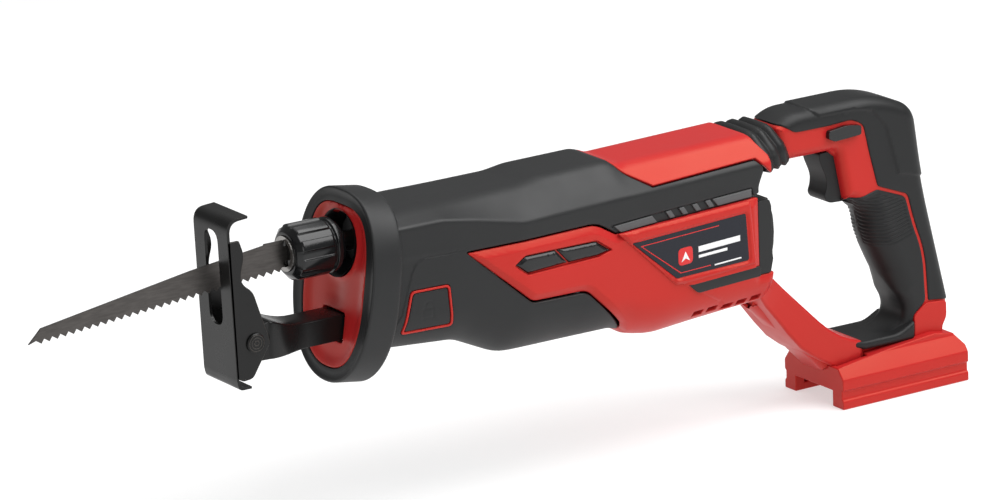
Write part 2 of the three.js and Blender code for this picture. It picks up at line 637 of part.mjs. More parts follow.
function driveGear() {
  const faceY = 9;
  const centre = { x: GEAR_X, z: MOTOR_Z };
  const disc = ringPin([faceY, faceY + 6], 5.3, 36, centre);
  const windows = [];
  for (let i = 0; i < 5; i++) {
    const angle = ((i + 0.5) / 5) * 2 * Math.PI + Math.PI / 2;
    windows.push(pin([faceY - 2, faceY + 8], 5,
      { x: GEAR_X + 20 * Math.cos(angle), z: MOTOR_Z + 20 * Math.sin(angle) }, 16));
  }
  const teeth = [];
  for (let i = 0; i < GEAR_TEETH; i++) {
    const tooth = box([GEAR_MESH_R - 3, GEAR_MESH_R + 3], [faceY - TOOTH_HEIGHT, faceY + 1], [-0.85, 0.85]);
    teeth.push(tooth.rotate([0, (360 * (i + 0.5)) / GEAR_TEETH, 0]).translate([GEAR_X, 0, MOTOR_Z]));
  }
  const crank = pin([-4.8, faceY + 1], 4, { x: GEAR_X, z: MOTOR_Z + CRANK_RADIUS });
  const counterweight = pin([faceY + 5, faceY + 9], 30, centre, 36)
    .intersect(box([60, 160], [0, 40], [-70, MOTOR_Z - 12]));
  return join(cut(disc, ...windows), ...teeth, crank, counterweight);
}

function pinion() {
  const core = tube([GEAR_X + GEAR_MESH_R - 4, GEAR_X + GEAR_MESH_R + 4], 4.3, PINION_R - 1.7, motorAxis);
  const teeth = [];
  for (let i = 0; i < PINION_TEETH; i++) {
    const tooth = box([-4, 4], [PINION_R - 2.4, PINION_R + 0.9], [-0.9, 0.9]);
    teeth.push(tooth.rotate([(360 * i) / PINION_TEETH, 0, 0]).translate([GEAR_X + GEAR_MESH_R, 0, MOTOR_Z]));
  }
  return join(core, ...teeth);
}

function armature() {
  const core = tube([188, 250], 4.3, 20.5, { ...motorAxis, sides: 36 });
  const slots = [];
  for (let i = 0; i < 12; i++) {
    slots.push(box([180, 260], [16, 30], [-1.2, 1.2]).rotate([30 * i, 0, 0]).translate([0, 0, MOTOR_Z]));
  }
  return cut(core, ...slots);
}

function coolingFan() {
  const disc = tube([170, 172], 4.3, 25, motorAxis);
  const hub = tube([170, 178], 4.3, 9, motorAxis);
  const blades = [];
  for (let i = 0; i < 11; i++) {
    blades.push(box([171, 178], [8.5, 24.5], [-0.7, 0.7])
      .rotate([(360 * i) / 11, 0, 0]).translate([0, 0, MOTOR_Z]));
  }
  return join(disc, hub, ...blades);
}

function scotchYoke() {
  const [front, rear] = [GEAR_X - 13.5, GEAR_X + 13.5];
  const plate = across([
    [front, -42, 4], [rear, -42, 4], [rear, -10, 3], [GEAR_X + 8, -6.4], [GEAR_X - 8, -6.4], [front, -10, 3],
  ], [-5, 5]);
  const slotTop = MOTOR_Z + CRANK_RADIUS + 4.6;
  return plate.subtract(across([
    [GEAR_X - 7.6, MOTOR_Z - 5, 4], [GEAR_X + 7.6, MOTOR_Z - 5, 4],
    [GEAR_X + 7.6, slotTop, 3], [GEAR_X - 7.6, slotTop, 3],
  ], [-10, 10]));
}

/** Cast case round the drive: a wall behind the gear, a bulkhead to the motor and the shaft's bush seats. */
function gearCase() {
  const wall = box([60, 158], [24, 29], [-60, 6]);
  const bulkhead = box([153, 158], [-29, 29], [-60, 6]);
  const seat = join(box([60, 76], [-13, 8.5], [-13, 8]), box([60, 70], [8, 27], [-13, 6]));
  const inside = bodyForm([40, 290], SHELL_GROW - WALL - 1);
  const bearingBore = pin([20, 34], 11.3, { x: GEAR_X, z: MOTOR_Z });
  const motorBore = rod([140, 170], 11.3, motorAxis);
  const shaftBore = rod([50, 90], 10.3);
  const yokeWay = box([50, 90], [-40, -9], [-30, -9]);
  const walls = join(wall, bulkhead, seat).intersect(inside);
  return cut(walls, bearingBore, motorBore, shaftBore, yokeWay);
}

/** Channel that guides the shoe arm, and carries the front bush above it. */
function armGuide() {
  const [low, high] = ARM_Z;
  const block = box([20, 50], [-15, 15], [low - 4, 12]);
  const channel = box([0, 80], [-ARM_HALF_WIDTH - 0.5, ARM_HALF_WIDTH + 0.5], [low - 0.5, high + 0.5]);
  const latchWay = box([34, 50], [-30, -10], [-51, -35]);
  return cut(block, channel, rod([0, 80], 10.3), latchWay);
}

// ---------------------------------------------------------------- the tool, part by part
for (const side of [LEFT, RIGHT]) {
  const name = (part) => `${part}_${sideName[side]}`;
  add(name('housing'), housing(side), 'red');
  add(name('front_cover'), frontCover(side), 'rubber');
  add(name('vent_strip'), ventStrip(side), 'grey');
  add(name('label_plate'), inlay(LABEL, side), 'label');
  add(name('lower_insert'), inlay(LOWER_INSERT, side), 'black');
  for (const [place, corners] of Object.entries(SIDE_INSERTS)) {
    add(name(`side_insert_${place}`), inlay(corners, side), 'black');
  }
}
add('top_cover', topCover(), 'red');
add('nose_flange', noseFlange(), 'rubber');
add('front_plate', frontPlate(), 'red');
add('rear_end_cap', endCap(), 'black');
add('bellows', bellows(), 'rubber');
add('handle_overmould', handleOvermould(), 'rubber');
add('front_grip', frontGrip(), 'rubber');
add('trigger', trigger(), 'black');
add('lock_off_slider', lockOffSlider(), 'black');
add('shoe_lock_button', lockButton(), 'rubber');
add('shoe_lock_surround', buttonSurround(), 'red');

add('saw_blade', sawBlade(), 'blade');
add('blade_holder', bladeHolder(), 'blackSteel');
add('clamp_ring', tube([-34.2, -32.3], 8.2, 11, {}), 'steel');
add('clamp_sleeve', clampSleeve(), 'black');
add('shoe_plate', shoePlate(), 'blackSteel');
add('shoe_arm', shoeArm(), 'blackSteel');
add('shoe_pin', shoePin(), 'blackSteel');

add('plunger_shaft', rod([-3.6, 118], SHAFT_R), 'steel');
add('scotch_yoke', scotchYoke(), 'steel');
add('shaft_seal', tube([15.8, 19.7], SHAFT_R + 0.4, 14), 'rubber');
add('front_bush', tube([21, 49], SHAFT_R + 0.1, 10), 'bronze');
add('rear_bush', tube([61, 75], SHAFT_R + 0.1, 10), 'bronze');
add('arm_guide', armGuide(), 'aluminium');
add('gear_case', gearCase(), 'aluminium');
add('drive_gear', driveGear(), 'steel');
add('gear_shaft', pin([9, 33], 5, { x: GEAR_X, z: MOTOR_Z }), 'steel');
add('gear_bearing', ringPin([24.3, 31], 5.3, 11, { x: GEAR_X, z: MOTOR_Z }), 'steel');
add('pinion', pinion(), 'steel');
add('motor_shaft', rod([GEAR_X + GEAR_MESH_R - 4, 276], 4, motorAxis), 'steel');
add('front_motor_bearing', tube([152, 159], 4.3, 11, motorAxis), 'steel');
add('rear_motor_bearing', tube([266, 273], 4.3, 11, motorAxis), 'steel');
add('cooling_fan', coolingFan(), 'black');
add('armature', armature(), 'copper');
add('motor_can', tube([182, 258], 22, 26, { ...motorAxis, sides: 40 }), 'blackSteel');
add('rear_bearing_holder', join(
  tube([264, 274], 11.3, 14, motorAxis), tube([259, 264.5], 14.1, 26, motorAxis),
  tube([262, 266], 11.3, 20, motorAxis)), 'black');
SCREWS.forEach((place, i) => add(`housing_screw_${i + 1}`, housingScrew(place), 'blackSteel'));
add('switch_body', box([392, 412], [-11, 11], [-33, -2]), 'black');
add('control_board', box([380, 434], [-17, 17], [-150, -148]), 'green');
add('battery_terminals', join(
  box([426, 444], [-14, 14], [-159.7, -156.3]),
  ...[-10, -3, 3, 10].map((y) => box([404, 427], [y - 0.8, y + 0.8], [-164, -156.3])),
  box([403.5, 427], [-14, 14], [-158, -156.3])), 'black');

export default saw;
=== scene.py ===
import math

import bmesh
import bpy
import numpy as np
from mathutils import Matrix, Vector
from mathutils.geometry import delaunay_2d_cdt
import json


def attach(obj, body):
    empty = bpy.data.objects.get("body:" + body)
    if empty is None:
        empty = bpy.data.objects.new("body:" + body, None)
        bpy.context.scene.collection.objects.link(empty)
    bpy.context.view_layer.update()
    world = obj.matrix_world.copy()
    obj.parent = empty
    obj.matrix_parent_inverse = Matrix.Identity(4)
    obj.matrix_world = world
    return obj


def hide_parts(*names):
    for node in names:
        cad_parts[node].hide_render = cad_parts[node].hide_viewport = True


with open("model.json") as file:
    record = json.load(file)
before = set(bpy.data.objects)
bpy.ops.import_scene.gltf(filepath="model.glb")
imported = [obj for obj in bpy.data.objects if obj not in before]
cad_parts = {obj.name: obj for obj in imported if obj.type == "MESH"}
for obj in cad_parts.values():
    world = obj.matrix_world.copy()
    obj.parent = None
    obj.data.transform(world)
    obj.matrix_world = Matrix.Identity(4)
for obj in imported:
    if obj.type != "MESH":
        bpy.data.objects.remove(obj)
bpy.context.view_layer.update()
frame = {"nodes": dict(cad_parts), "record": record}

# Working frame: millimetres from the stroke axis at the nose. The row frame is metres from the floor.
ORIGIN = np.array([122.0, 0.0, -171.0])


def row(points):
    return (np.asarray(points, float) - ORIGIN) / 1000


# ------------------------------------------------------------------ materials
def material(name, colour, roughness, metallic=0.0, grain=0.0, grain_size=0.6, mottle=0.0,
        specular=0.5, streak=None, rough_spread=0.06, specular_tint=None):
    mat = bpy.data.materials.new(name)
    mat.use_nodes = True
    tree = mat.node_tree
    shader = tree.nodes["Principled BSDF"]
    shader.inputs["Metallic"].default_value = metallic
    shader.inputs["Specular IOR Level"].default_value = specular
    if specular_tint:
        shader.inputs["Specular Tint"].default_value = (*specular_tint, 1)
    place = tree.nodes.new("ShaderNodeTexCoord")
    vector = place.outputs["Object"]
    if streak:
        mapping = tree.nodes.new("ShaderNodeMapping")
        mapping.inputs["Scale"].default_value = streak
        tree.links.new(vector, mapping.inputs["Vector"])
        vector = mapping.outputs["Vector"]

    def noise(scale, detail):
        node = tree.nodes.new("ShaderNodeTexNoise")
        node.inputs["Scale"].default_value = scale
        node.inputs["Detail"].default_value = detail
        tree.links.new(vector, node.inputs["Vector"])
        return node.outputs["Fac"]

    broad = noise(24, 4)
    fine = noise(1000 / grain_size, 2)

    ramp = tree.nodes.new("ShaderNodeMapRange")
    ramp.inputs["From Min"].default_value = 0.3
    ramp.inputs["From Max"].default_value = 0.7
    ramp.inputs["To Min"].default_value = max(0.02, roughness - rough_spread)
    ramp.inputs["To Max"].default_value = roughness + rough_spread
    tree.links.new(broad, ramp.inputs["Value"])
    tree.links.new(ramp.outputs["Result"], shader.inputs["Roughness"])

    tint = tree.nodes.new("ShaderNodeMix")
    tint.data_type = "RGBA"
    tint.inputs[6].default_value = (*[c * (1 - mottle) for c in colour], 1)
    tint.inputs[7].default_value = (*[min(1, c * (1 + mottle)) for c in colour], 1)
    tree.links.new(fine if streak else broad, tint.inputs[0])
    tree.links.new(tint.outputs[2], shader.inputs["Base Color"])

    if grain:
        bump = tree.nodes.new("ShaderNodeBump")
        bump.inputs["Strength"].default_value = grain
        bump.inputs["Distance"].default_value = 0.00006
        tree.links.new(fine, bump.inputs["Height"])
        tree.links.new(bump.outputs["Normal"], shader.inputs["Normal"])
    return mat


RED = material("red_plastic", (0.46, 0.0165, 0.018), 0.38, grain=0.25, grain_size=0.5, mottle=0.05,
    specular=0.42, specular_tint=(1.0, 0.55, 0.32))
RUBBER = material("soft_rubber", (0.0115, 0.012, 0.0125), 0.5, grain=0.5, grain_size=0.45, mottle=0.14,
    specular=0.36)
DARK = material("handle_rubber", (0.0098, 0.0102, 0.0106), 0.48, grain=0.4, grain_size=0.45, mottle=0.14,
    specular=0.3)
BLACK = material("black_plastic", (0.01, 0.0105, 0.011), 0.34, grain=0.15, grain_size=0.5, mottle=0.1,
    specular=0.32)
GLOSS = material("gloss_black", (0.007, 0.0075, 0.008), 0.2, mottle=0.1, specular=0.4)
GREY = material("grey_plastic", (0.085, 0.085, 0.087), 0.5, grain=0.3, mottle=0.08, specular=0.35)
LABEL = material("label_film", (0.006, 0.0075, 0.014), 0.24, mottle=0.1, specular=0.3)
PRINT_RED = material("print_red", (0.6, 0.025, 0.025), 0.3, mottle=0.03, specular=0.3)
PRINT_WHITE = material("print_white", (0.78, 0.78, 0.78), 0.35, mottle=0.02, specular=0.3)
STEEL_BLACK = material("black_steel", (0.006, 0.006, 0.006), 0.28, grain=0.12, mottle=0.3, specular=0.27,
    rough_spread=0.09)
# Lighter, shinier metal for bevelled edges and the pin's rings: partly rubbed wear, partly a painted highlight
# along the edges.
EDGE_WEAR_AND_HIGHLIGHT = material("rubbed_edge_and_painted_highlight", (0.06, 0.055, 0.05), 0.3, metallic=0.7, grain=0.2, mottle=0.5)
BLADE = material("blade_steel", (0.085, 0.079, 0.075), 0.42, metallic=0.85, grain=0.35, grain_size=1.2,
    mottle=0.35, streak=(0.16, 1, 1))
BRIGHT = material("bright_steel", (0.30, 0.29, 0.28), 0.26, metallic=1.0, grain=0.15, mottle=0.08,
    streak=(1, 1, 0.2))
ALUMINIUM = material("cast_aluminium", (0.42, 0.43, 0.44), 0.48, metallic=1.0, grain=0.4, mottle=0.1)
BRONZE = material("sintered_bronze", (0.4, 0.26, 0.11), 0.45, metallic=1.0, grain=0.3, mottle=0.15)
COPPER = material("windings", (0.5, 0.2, 0.08), 0.38, metallic=0.9, grain=0.4, mottle=0.2,
    streak=(1, 1, 0.1))
BOARD = material("board", (0.02, 0.11, 0.05), 0.45, grain=0.2, mottle=0.15)

# ------------------------------------------------------------------ making pieces
SIDES = (("left", 1), ("right", -1))
record = frame["record"]
SLOT_OF = {part["node"]: part["material_slot"] for part in record["subparts"]}
BODY_OF = {node: body for body, nodes in record["behaviour"]["bodies"].items() for node in nodes}


def mesh_piece(name, verts, faces, nodes, mat):
    """A new piece that stands for CAD nodes, which it hides, rides their body and takes the given material."""
    mesh = bpy.data.meshes.new(name)
    mesh.from_pydata([tuple(v) for v in row(verts)], [], [tuple(int(i) for i in f) for f in faces])
    mesh.polygons.foreach_set("use_smooth", [True] * len(mesh.polygons))
    mesh.update()
    obj = bpy.data.objects.new(name, mesh)
    bpy.context.scene.collection.objects.link(obj)
    obj.data.materials.append(mat)
    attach(obj, BODY_OF[nodes[0]])
    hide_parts(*nodes)
    return obj


def fix_normals(obj):
    work = bmesh.new()
    work.from_mesh(obj.data)
    bmesh.ops.remove_doubles(work, verts=work.verts, dist=1e-6)
    bmesh.ops.recalc_face_normals(work, faces=work.faces)
    work.to_mesh(obj.data)
    work.free()


def soften(obj, width, segments=2, angle=28):
    """Rounds the sharp edges of a piece and evens out its shading."""
    obj.data.polygons.foreach_set("use_smooth", [True] * len(obj.data.polygons))
    bevel = obj.modifiers.new("edges", "BEVEL")
    bevel.width = width / 1000
    bevel.segments = segments
    bevel.limit_method = "ANGLE"
    bevel.angle_limit = math.radians(angle)
    bevel.harden_normals = True
    obj.modifiers.new("shading", "WEIGHTED_NORMAL").keep_sharp = True
    return obj


def rounded_corner(here, neighbours, radius, count):
    """Points along the corner here, rounded off between its two neighbours."""
    ends = []
    for other in neighbours:
        away = other - here
        length = np.linalg.norm(away)
        ends.append(here + away / length * min(radius, length / 2.05))
    share = np.linspace(0, 1, count)
    return [(1 - t) ** 2 * ends[0] + 2 * t * (1 - t) * here + t * t * ends[1] for t in share]


def closed_outline(corners, step=1.5):
    """Points on the outline through corners (u, v[, radius]), corners rounded, at most step apart."""
    points = []
    n = len(corners)
    for i, corner in enumerate(corners):
        here = np.array(corner[:2], float)
        radius = corner[2] if len(corner) > 2 else 0
        if radius:
            neighbours = [np.array(corners[k][:2], float) for k in (i - 1, (i + 1) % n)]
            points += rounded_corner(here, neighbours, radius, max(4, int(radius / step) + 3))
        else:
            points.append(here)
    dense = []
    for a, b in zip(points, points[1:] + points[:1]):
        count = max(1, int(math.ceil(np.linalg.norm(b - a) / step)))
        dense += [a + (b - a) * k / count for k in range(count)]
    return np.array(dense)


def is_inside(points, ring):
    x, y = points[:, 0][:, None], points[:, 1][:, None]
    a, b = ring, np.roll(ring, -1, 0)
    crosses = (a[:, 1] > y) != (b[:, 1] > y)
    rise = np.where(b[:, 1] == a[:, 1], 1e-12, b[:, 1] - a[:, 1])
    at_x = a[:, 0] + (y - a[:, 1]) * (b[:, 0] - a[:, 0]) / rise
    return (crosses & (x < at_x)).sum(1) % 2 == 1


def to_segments(points, a, b):
    """Distance from each point to the nearest segment a-b, with the nearest spot and segment index."""
    out_d, out_q, out_i = [], [], []
    along = b - a
    length2 = np.maximum((along ** 2).sum(1), 1e-12)
    for chunk in np.array_split(points, max(1, len(points) // 2000 + 1)):
        t = np.clip(((chunk[:, None] - a) * along).sum(2) / length2, 0, 1)
        q = a + t[:, :, None] * along
        d = np.linalg.norm(chunk[:, None] - q, axis=2)
        k = d.argmin(1)
        pick = np.arange(len(chunk))
        out_d.append(d[pick, k])
        out_q.append(q[pick, k])
        out_i.append(k)
    return np.concatenate(out_d), np.concatenate(out_q), np.concatenate(out_i)


def ring_normals(ring):
    area = ((ring[:, 0] * np.roll(ring[:, 1], -1)) - (np.roll(ring[:, 0], -1) * ring[:, 1])).sum()
    tangent = np.roll(ring, -1, 0) - np.roll(ring, 1, 0)
    tangent /= np.maximum(np.linalg.norm(tangent, axis=1, keepdims=True), 1e-9)
    inward = np.stack([-tangent[:, 1], tangent[:, 0]], 1)
    return inward if area > 0 else -inward


RIM_STEPS = (0.1, 0.35, 0.68, 1.0)
LINE_OFFSETS = (-2.4, -1.2, -0.5, 0, 0.5, 1.2, 2.4)


def within(points, rings):
    """Whether each point lies inside the first ring and outside the others."""
    keep = is_inside(points, rings[0])
    for hole in rings[1:]:
        keep &= ~is_inside(points, hole)
    return keep


def triangulate(points, rings):
    """Triangles over the area between the rings, whose own points come first."""
    edges, start = [], 0
    for ring in rings:
        n = len(ring)
        edges += [(start + i, start + (i + 1) % n) for i in range(n)]
        start += n
    flat, _, tris, _, _, _ = delaunay_2d_cdt([Vector(p) for p in points], edges, [], 0, 1e-5)
    flat, tris = np.array([tuple(p) for p in flat]), np.array(tris)
    return flat, tris[within(flat[tris].mean(1), rings)]


def border_edges(tris):
    edges = {(t[i], t[(i + 1) % 3]): True for t in tris for i in range(3)}
    return [e for e in edges if (e[1], e[0]) not in edges]


def rolled_height(d, rim, top):
    """Height of a skin at a distance d from its edge, which is rounded over by rim."""
    short = np.clip(rim - d, 0, rim)
    return top - rim + np.sqrt(np.maximum(rim * rim - short * short, 0))


def settle_faces(obj, votes):
    """Drops loose points, and turns the faces over when votes finds that they face inwards."""
    work = bmesh.new()
    work.from_mesh(obj.data)
    bmesh.ops.delete(work, geom=[v for v in work.verts if not v.link_faces], context="VERTS")
    work.normal_update()
    if votes(work.faces) < 0:
        bmesh.ops.reverse_faces(work, faces=work.faces)
    work.to_mesh(obj.data)
    work.free()
    return obj


def patch(name, outer, surface, grid, nodes, mat, holes=(), top=0.0, depth=2.0, rim=0.8, open_edge=None,
        bands=(), dome=None, lines=(), dome_outer=False):
    """A skin over a curved surface: outer and holes are outlines in the surface's own flat
    coordinates, top and depth are heights above the surface, and rim rounds its edges over."""
    rings = [np.asarray(outer)] + [np.asarray(h) for h in holes]
    seg_a = np.concatenate(rings)
    seg_b = np.concatenate([np.roll(r, -1, 0) for r in rings])
    visible = np.ones(len(seg_a), bool) if open_edge is None else ~open_edge((seg_a + seg_b) / 2)
    rim_a, rim_b = seg_a[visible], seg_b[visible]

    insets = [rim * f for f in RIM_STEPS] + list(bands)
    extra = [grid]
    for ring, sign in zip(rings, [1] + [-1] * len(holes)):
        extra += [ring + ring_normals(ring) * sign * inset for inset in insets]
    extra = np.concatenate(extra)
    extra = extra[within(extra, rings)]
    extra = extra[to_segments(extra, seg_a, seg_b)[0] > rim * 0.09]
    to_rim = to_segments(extra, rim_a, rim_b)[0]
    gap = np.abs(to_rim[:, None] - np.array([0] + insets)).min(1)
    extra = extra[(to_rim >= rim + 0.8) | (gap < 0.06)]
    for line in lines:
        sharp = on_body_line(line, flip=np.sign(rings[0][:, 1].mean()))
        run = np.stack([-np.gradient(sharp[:, 1]), np.gradient(sharp[:, 0])], 1)
        run /= np.linalg.norm(run, axis=1, keepdims=True)
        along = np.concatenate([sharp + run * k for k in LINE_OFFSETS])
        along = along[within(along, rings)]
        along = along[to_segments(along, seg_a, seg_b)[0] > rim + 0.4]
        extra = np.concatenate([extra, along])

    flat, tris = triangulate(np.concatenate([seg_a, extra]), rings)
    d = to_segments(flat, rim_a, rim_b)[0]
    height = rolled_height(d, rim, top)
    if dome is not None:
        n = len(rings[0])
        outer_a, outer_b = seg_a[:n][visible[:n]], seg_b[:n][visible[:n]]
        height = height + dome(flat, to_segments(flat, outer_a, outer_b)[0] if dome_outer else d)
    upper = surface(flat, height)

    border = border_edges(tris)
    used = sorted({i for e in border for i in e})
    middle = surface(flat[used], height[used] - min(0.35, depth * 0.3))
    lower = surface(flat, np.full(len(flat), top - depth))[used]
    middle_at = {v: len(upper) + k for k, v in enumerate(used)}
    lower_at = {v: len(upper) + len(used) + k for k, v in enumerate(used)}
    faces = [tuple(t) for t in tris]
    if open_edge is not None:
        shut = open_edge(np.array([(flat[a] + flat[b]) / 2 for a, b in border]))
        border = [e for e, closed in zip(border, shut) if not closed]
    for a, b in border:
        faces.append((b, a, middle_at[a], middle_at[b]))
        faces.append((middle_at[b], middle_at[a], lower_at[a], lower_at[b]))
    obj = mesh_piece(name, np.concatenate([upper, middle, lower]), faces, nodes, mat)

    # Faces were wound in flat coordinates: turn them so that they face away from the tool's inside.
    some = flat[tris].mean(1)[:400]
    deep = row(surface(some, np.full(len(some), top - 30.0)))

    def outward_votes(work_faces):
        return sum(f.normal.dot(f.calc_center_median() - Vector(p)) for f, p in zip(work_faces, deep))

    return settle_faces(obj, outward_votes)


def loft(name, sections, nodes, mat, cap=True):
    """Joins closed rings of points, all the same length, into a tube."""
    rings = [np.asarray(s) for s in sections]
    n = len(rings[0])
    verts = np.concatenate(rings)
    faces = []
    for k in range(len(rings) - 1):
        for i in range(n):
            j = (i + 1) % n
            faces.append((k * n + i, k * n + j, (k + 1) * n + j, (k + 1) * n + i))
    if cap:
        faces.append(tuple(range(n)))
        faces.append(tuple(reversed(range((len(rings) - 1) * n, len(rings) * n))))
    obj = mesh_piece(name, verts, faces, nodes, mat)
    fix_normals(obj)
    return obj


def prism(name, corners, span, nodes, mat, bevel=0.6, segments=3, step=60.0):
    """Corners in (x, z) drawn across the tool from y0 to y1, with rounded edges."""
    ring = closed_outline(corners, step)
    sections = [np.stack([ring[:, 0], np.full(len(ring), y), ring[:, 1]], 1) for y in span]
    obj = loft(name, sections, nodes, mat)
    return soften(obj, bevel, segments) if bevel else obj


def apply_cut(obj, *solids):
    for k, other in enumerate(solids):
        mod = obj.modifiers.new(f"cut{k}", "BOOLEAN")
        mod.operation = "DIFFERENCE"
        mod.solver = "EXACT"
        mod.object = other
    dg = bpy.context.evaluated_depsgraph_get()
    mesh = bpy.data.meshes.new_from_object(obj.evaluated_get(dg))
    obj.modifiers.clear()
    obj.data = mesh
    for other in solids:
        bpy.data.objects.remove(other)
    return obj


def cutter(corners, axis, span):
    """A plain prism used only to cut: corners in (x, z) for axis y, (y, z) for axis x."""
    n = len(corners)
    verts = []
    for s in span:
        for u, v in corners:
            verts.append((u, s, v) if axis == "y" else (s, u, v))
    faces = [tuple(range(n)), tuple(reversed(range(n, 2 * n)))]
    faces += [(i, i + n, (i + 1) % n + n, (i + 1) % n) for i in range(n)]
    mesh = bpy.data.meshes.new("cutter")
    mesh.from_pydata([tuple(p) for p in row(verts)], [], faces)
    obj = bpy.data.objects.new("cutter", mesh)
    bpy.context.scene.collection.objects.link(obj)
    fix_normals(obj)
    return obj


# ------------------------------------------------------------------ the body's surface
STATIONS = {
    "top": [(10, 18.3), (123, 19.4), (138, 21.7), (186, 22.4), (196, 18.1), (300, 20)],
    "top_half": [(10, 23), (110, 23), (196, 21), (300, 22)],
    "side": [(10, 36.5), (60, 40), (112, 42), (150, 40), (200, 38), (300, 36)],
    "crease": [(10, 12), (55, 13), (78, 9), (112, 1.4), (212, 2.4), (300, 4)],
    "bottom": [(10, -66.5), (70, -70), (100, -84), (186, -86), (198, -91), (214, -94), (244, -92),
        (300, -89)],
}
FOOT_ROUND = 26
KNOTS = [0, 17, 25, 50, 57, 118, 158, 172]
CENTRE = KNOTS[-1]
CORE_Z = -33


def station(key, x, blur=3.0):
    xs, values = zip(*STATIONS[key])
    return sum(np.interp(x + d, xs, values) for d in np.linspace(-blur, blur, 7)) / 7


def section(x, w):
    """y (positive) and z of the body's surface at x, where w runs from top centre to bottom centre."""
    top, top_half, side = station("top", x), station("top_half", x), station("side", x)
    crease, bottom = station("crease", x), station("bottom", x, 5)
    a1 = (top_half - 6, top)
    b = (top_half, top)
    down = np.hypot(side - top_half, top - crease)
    f1, f2 = 5 / down, 2.2 / down
    a2 = (top_half + (side - top_half) * f1, top + (crease - top) * f1)
    c1 = (side - (side - top_half) * f2, crease + (top - crease) * f2)
    c = (side, crease)
    c2 = (side, crease - 2.2)
    d1 = (side, bottom + FOOT_ROUND)
    zero = np.zeros_like(top)

    def part(i):
        return np.clip((w - KNOTS[i]) / (KNOTS[i + 1] - KNOTS[i]), 0, 1)

    def curve(p, q, r, t):
        return [(1 - t) ** 2 * p[k] + 2 * t * (1 - t) * q[k] + t * t * r[k] for k in (0, 1)]

    def line(p, q, t):
        return [p[k] + (q[k] - p[k]) * t for k in (0, 1)]

    angle = part(5) * math.pi / 2
    arc = [side - FOOT_ROUND * (1 - np.cos(angle)), bottom + FOOT_ROUND * (1 - np.sin(angle))]
    pieces = [
        line((zero, top), a1, part(0)), curve(a1, b, a2, part(1)), line(a2, c1, part(2)),
        curve(c1, c, c2, part(3)), line(c2, d1, part(4)), arc, line((side - FOOT_ROUND, bottom),
        (zero, bottom), part(6)),
    ]
    which = np.clip(np.searchsorted(KNOTS, w, side="right") - 1, 0, 6)
    y = np.choose(which, [p[0] + zero for p in pieces])
    z = np.choose(which, [p[1] + zero for p in pieces])
    return y, z


def body_point(flat):
    x, w = flat[:, 0], flat[:, 1]
    y, z = section(x, np.abs(w))
    return np.stack([x, np.where(w >= 0, -y, y), z], 1)


def body_surface(flat, height):
    e = 0.4
    base = body_point(flat)
    dx = body_point(flat + [e, 0]) - body_point(flat - [e, 0])
    lo, hi = flat - [0, e], flat + [0, e]
    hi[hi[:, 1] > CENTRE, 1] = CENTRE
    lo[lo[:, 1] < -CENTRE, 1] = -CENTRE
    dw = body_point(hi) - body_point(lo)
    normal = np.cross(dw, dx)
    normal[np.abs(np.abs(flat[:, 1]) - CENTRE) < 1e-3, 1] = 0
    normal /= np.maximum(np.linalg.norm(normal, axis=1, keepdims=True), 1e-9)
    away = base * [0, 1, 1] - [0, 0, CORE_Z]
    normal *= np.sign((normal * away).sum(1))[:, None]
    return base + normal * np.asarray(height)[:, None]


def w_at(x, z):
    """The surface coordinate w of a spot on the left side, from its x and z."""
    ws = np.linspace(KNOTS[1] - 1, KNOTS[6], 500)
    zs = section(np.full(500, float(x)), ws)[1]
    return float(np.interp(-z, -zs, ws))


def on_body(corners, step=1.4):
    """Outline through corners: (x, z[, radius]) on the side, or (x, None, w) straight in w."""
    n = len(corners)
    by_w = [corner[1] is None for corner in corners]
    spots = []
    for i, corner in enumerate(corners):
        here = np.array([corner[0], corner[2] if by_w[i] else corner[1]], float)
        if by_w[i]:
            spots.append([here])
        elif len(corner) > 2 and corner[2]:
            neighbours = [here + [0, 1] if by_w[k] else np.array(corners[k][:2], float)
                for k in (i - 1, (i + 1) % n)]
            curve = rounded_corner(here, neighbours, corner[2], max(5, int(corner[2] / step) + 3))
            spots.append([np.array([c[0], w_at(*c)]) for c in curve])
        else:
            spots.append([np.array([here[0], w_at(*here)])])
    points = []
    for i in range(n):
        k = (i + 1) % n
        a, b = spots[i][-1], spots[k][0]
        count = max(1, int(math.ceil(np.linalg.norm(b - a) / step)))
        shares = [j / count for j in range(1, count)]
        points += spots[i]
        if by_w[i] or by_w[k]:
            points += [a + (b - a) * t for t in shares]
        else:
            za, zb = [float(section(np.array([p[0]]), np.array([p[1]]))[1][0]) for p in (a, b)]
            xs = [a[0] + (b[0] - a[0]) * t for t in shares]
            points += [np.array([x, w_at(x, za + (zb - za) * t)]) for x, t in zip(xs, shares)]
    return np.array(points)


def on_body_line(corners, flip=1, step=1.2):
    spots = []
    for a, b in zip(corners[:-1], corners[1:]):
        count = max(2, int(math.dist(a, b) / step))
        spots += [(a[0] + (b[0] - a[0]) * k / count, a[1] + (b[1] - a[1]) * k / count) for k in range(count)]
    return np.array([(x, flip * w_at(x, z)) for x, z in spots + [corners[-1]]])


def body_grid(x0, x1, w0, w1, spacing=2.2):
    xs = np.arange(x0 + spacing / 2, x1, spacing)
    ws = []
    for a, b, least in zip(KNOTS[:-1], KNOTS[1:], (4, 6, 8, 6, 10, 16, 4)):
        ws += list(np.linspace(a, b, max(least, int((b - a) / spacing)) + 1)[:-1])
    ws = np.array(ws + [CENTRE])
    ws = np.concatenate([-ws[::-1], ws[1:]])
    ws = ws[(ws > w0) & (ws < w1)]
    return np.stack([g.ravel() for g in np.meshgrid(xs, ws)], 1)


def mirrored(ring):
    return (ring * [1, -1])[::-1]


def centre_line(middles):
    w = np.abs(middles[:, 1])
    return (w < 0.01) | (w > CENTRE - 0.01)


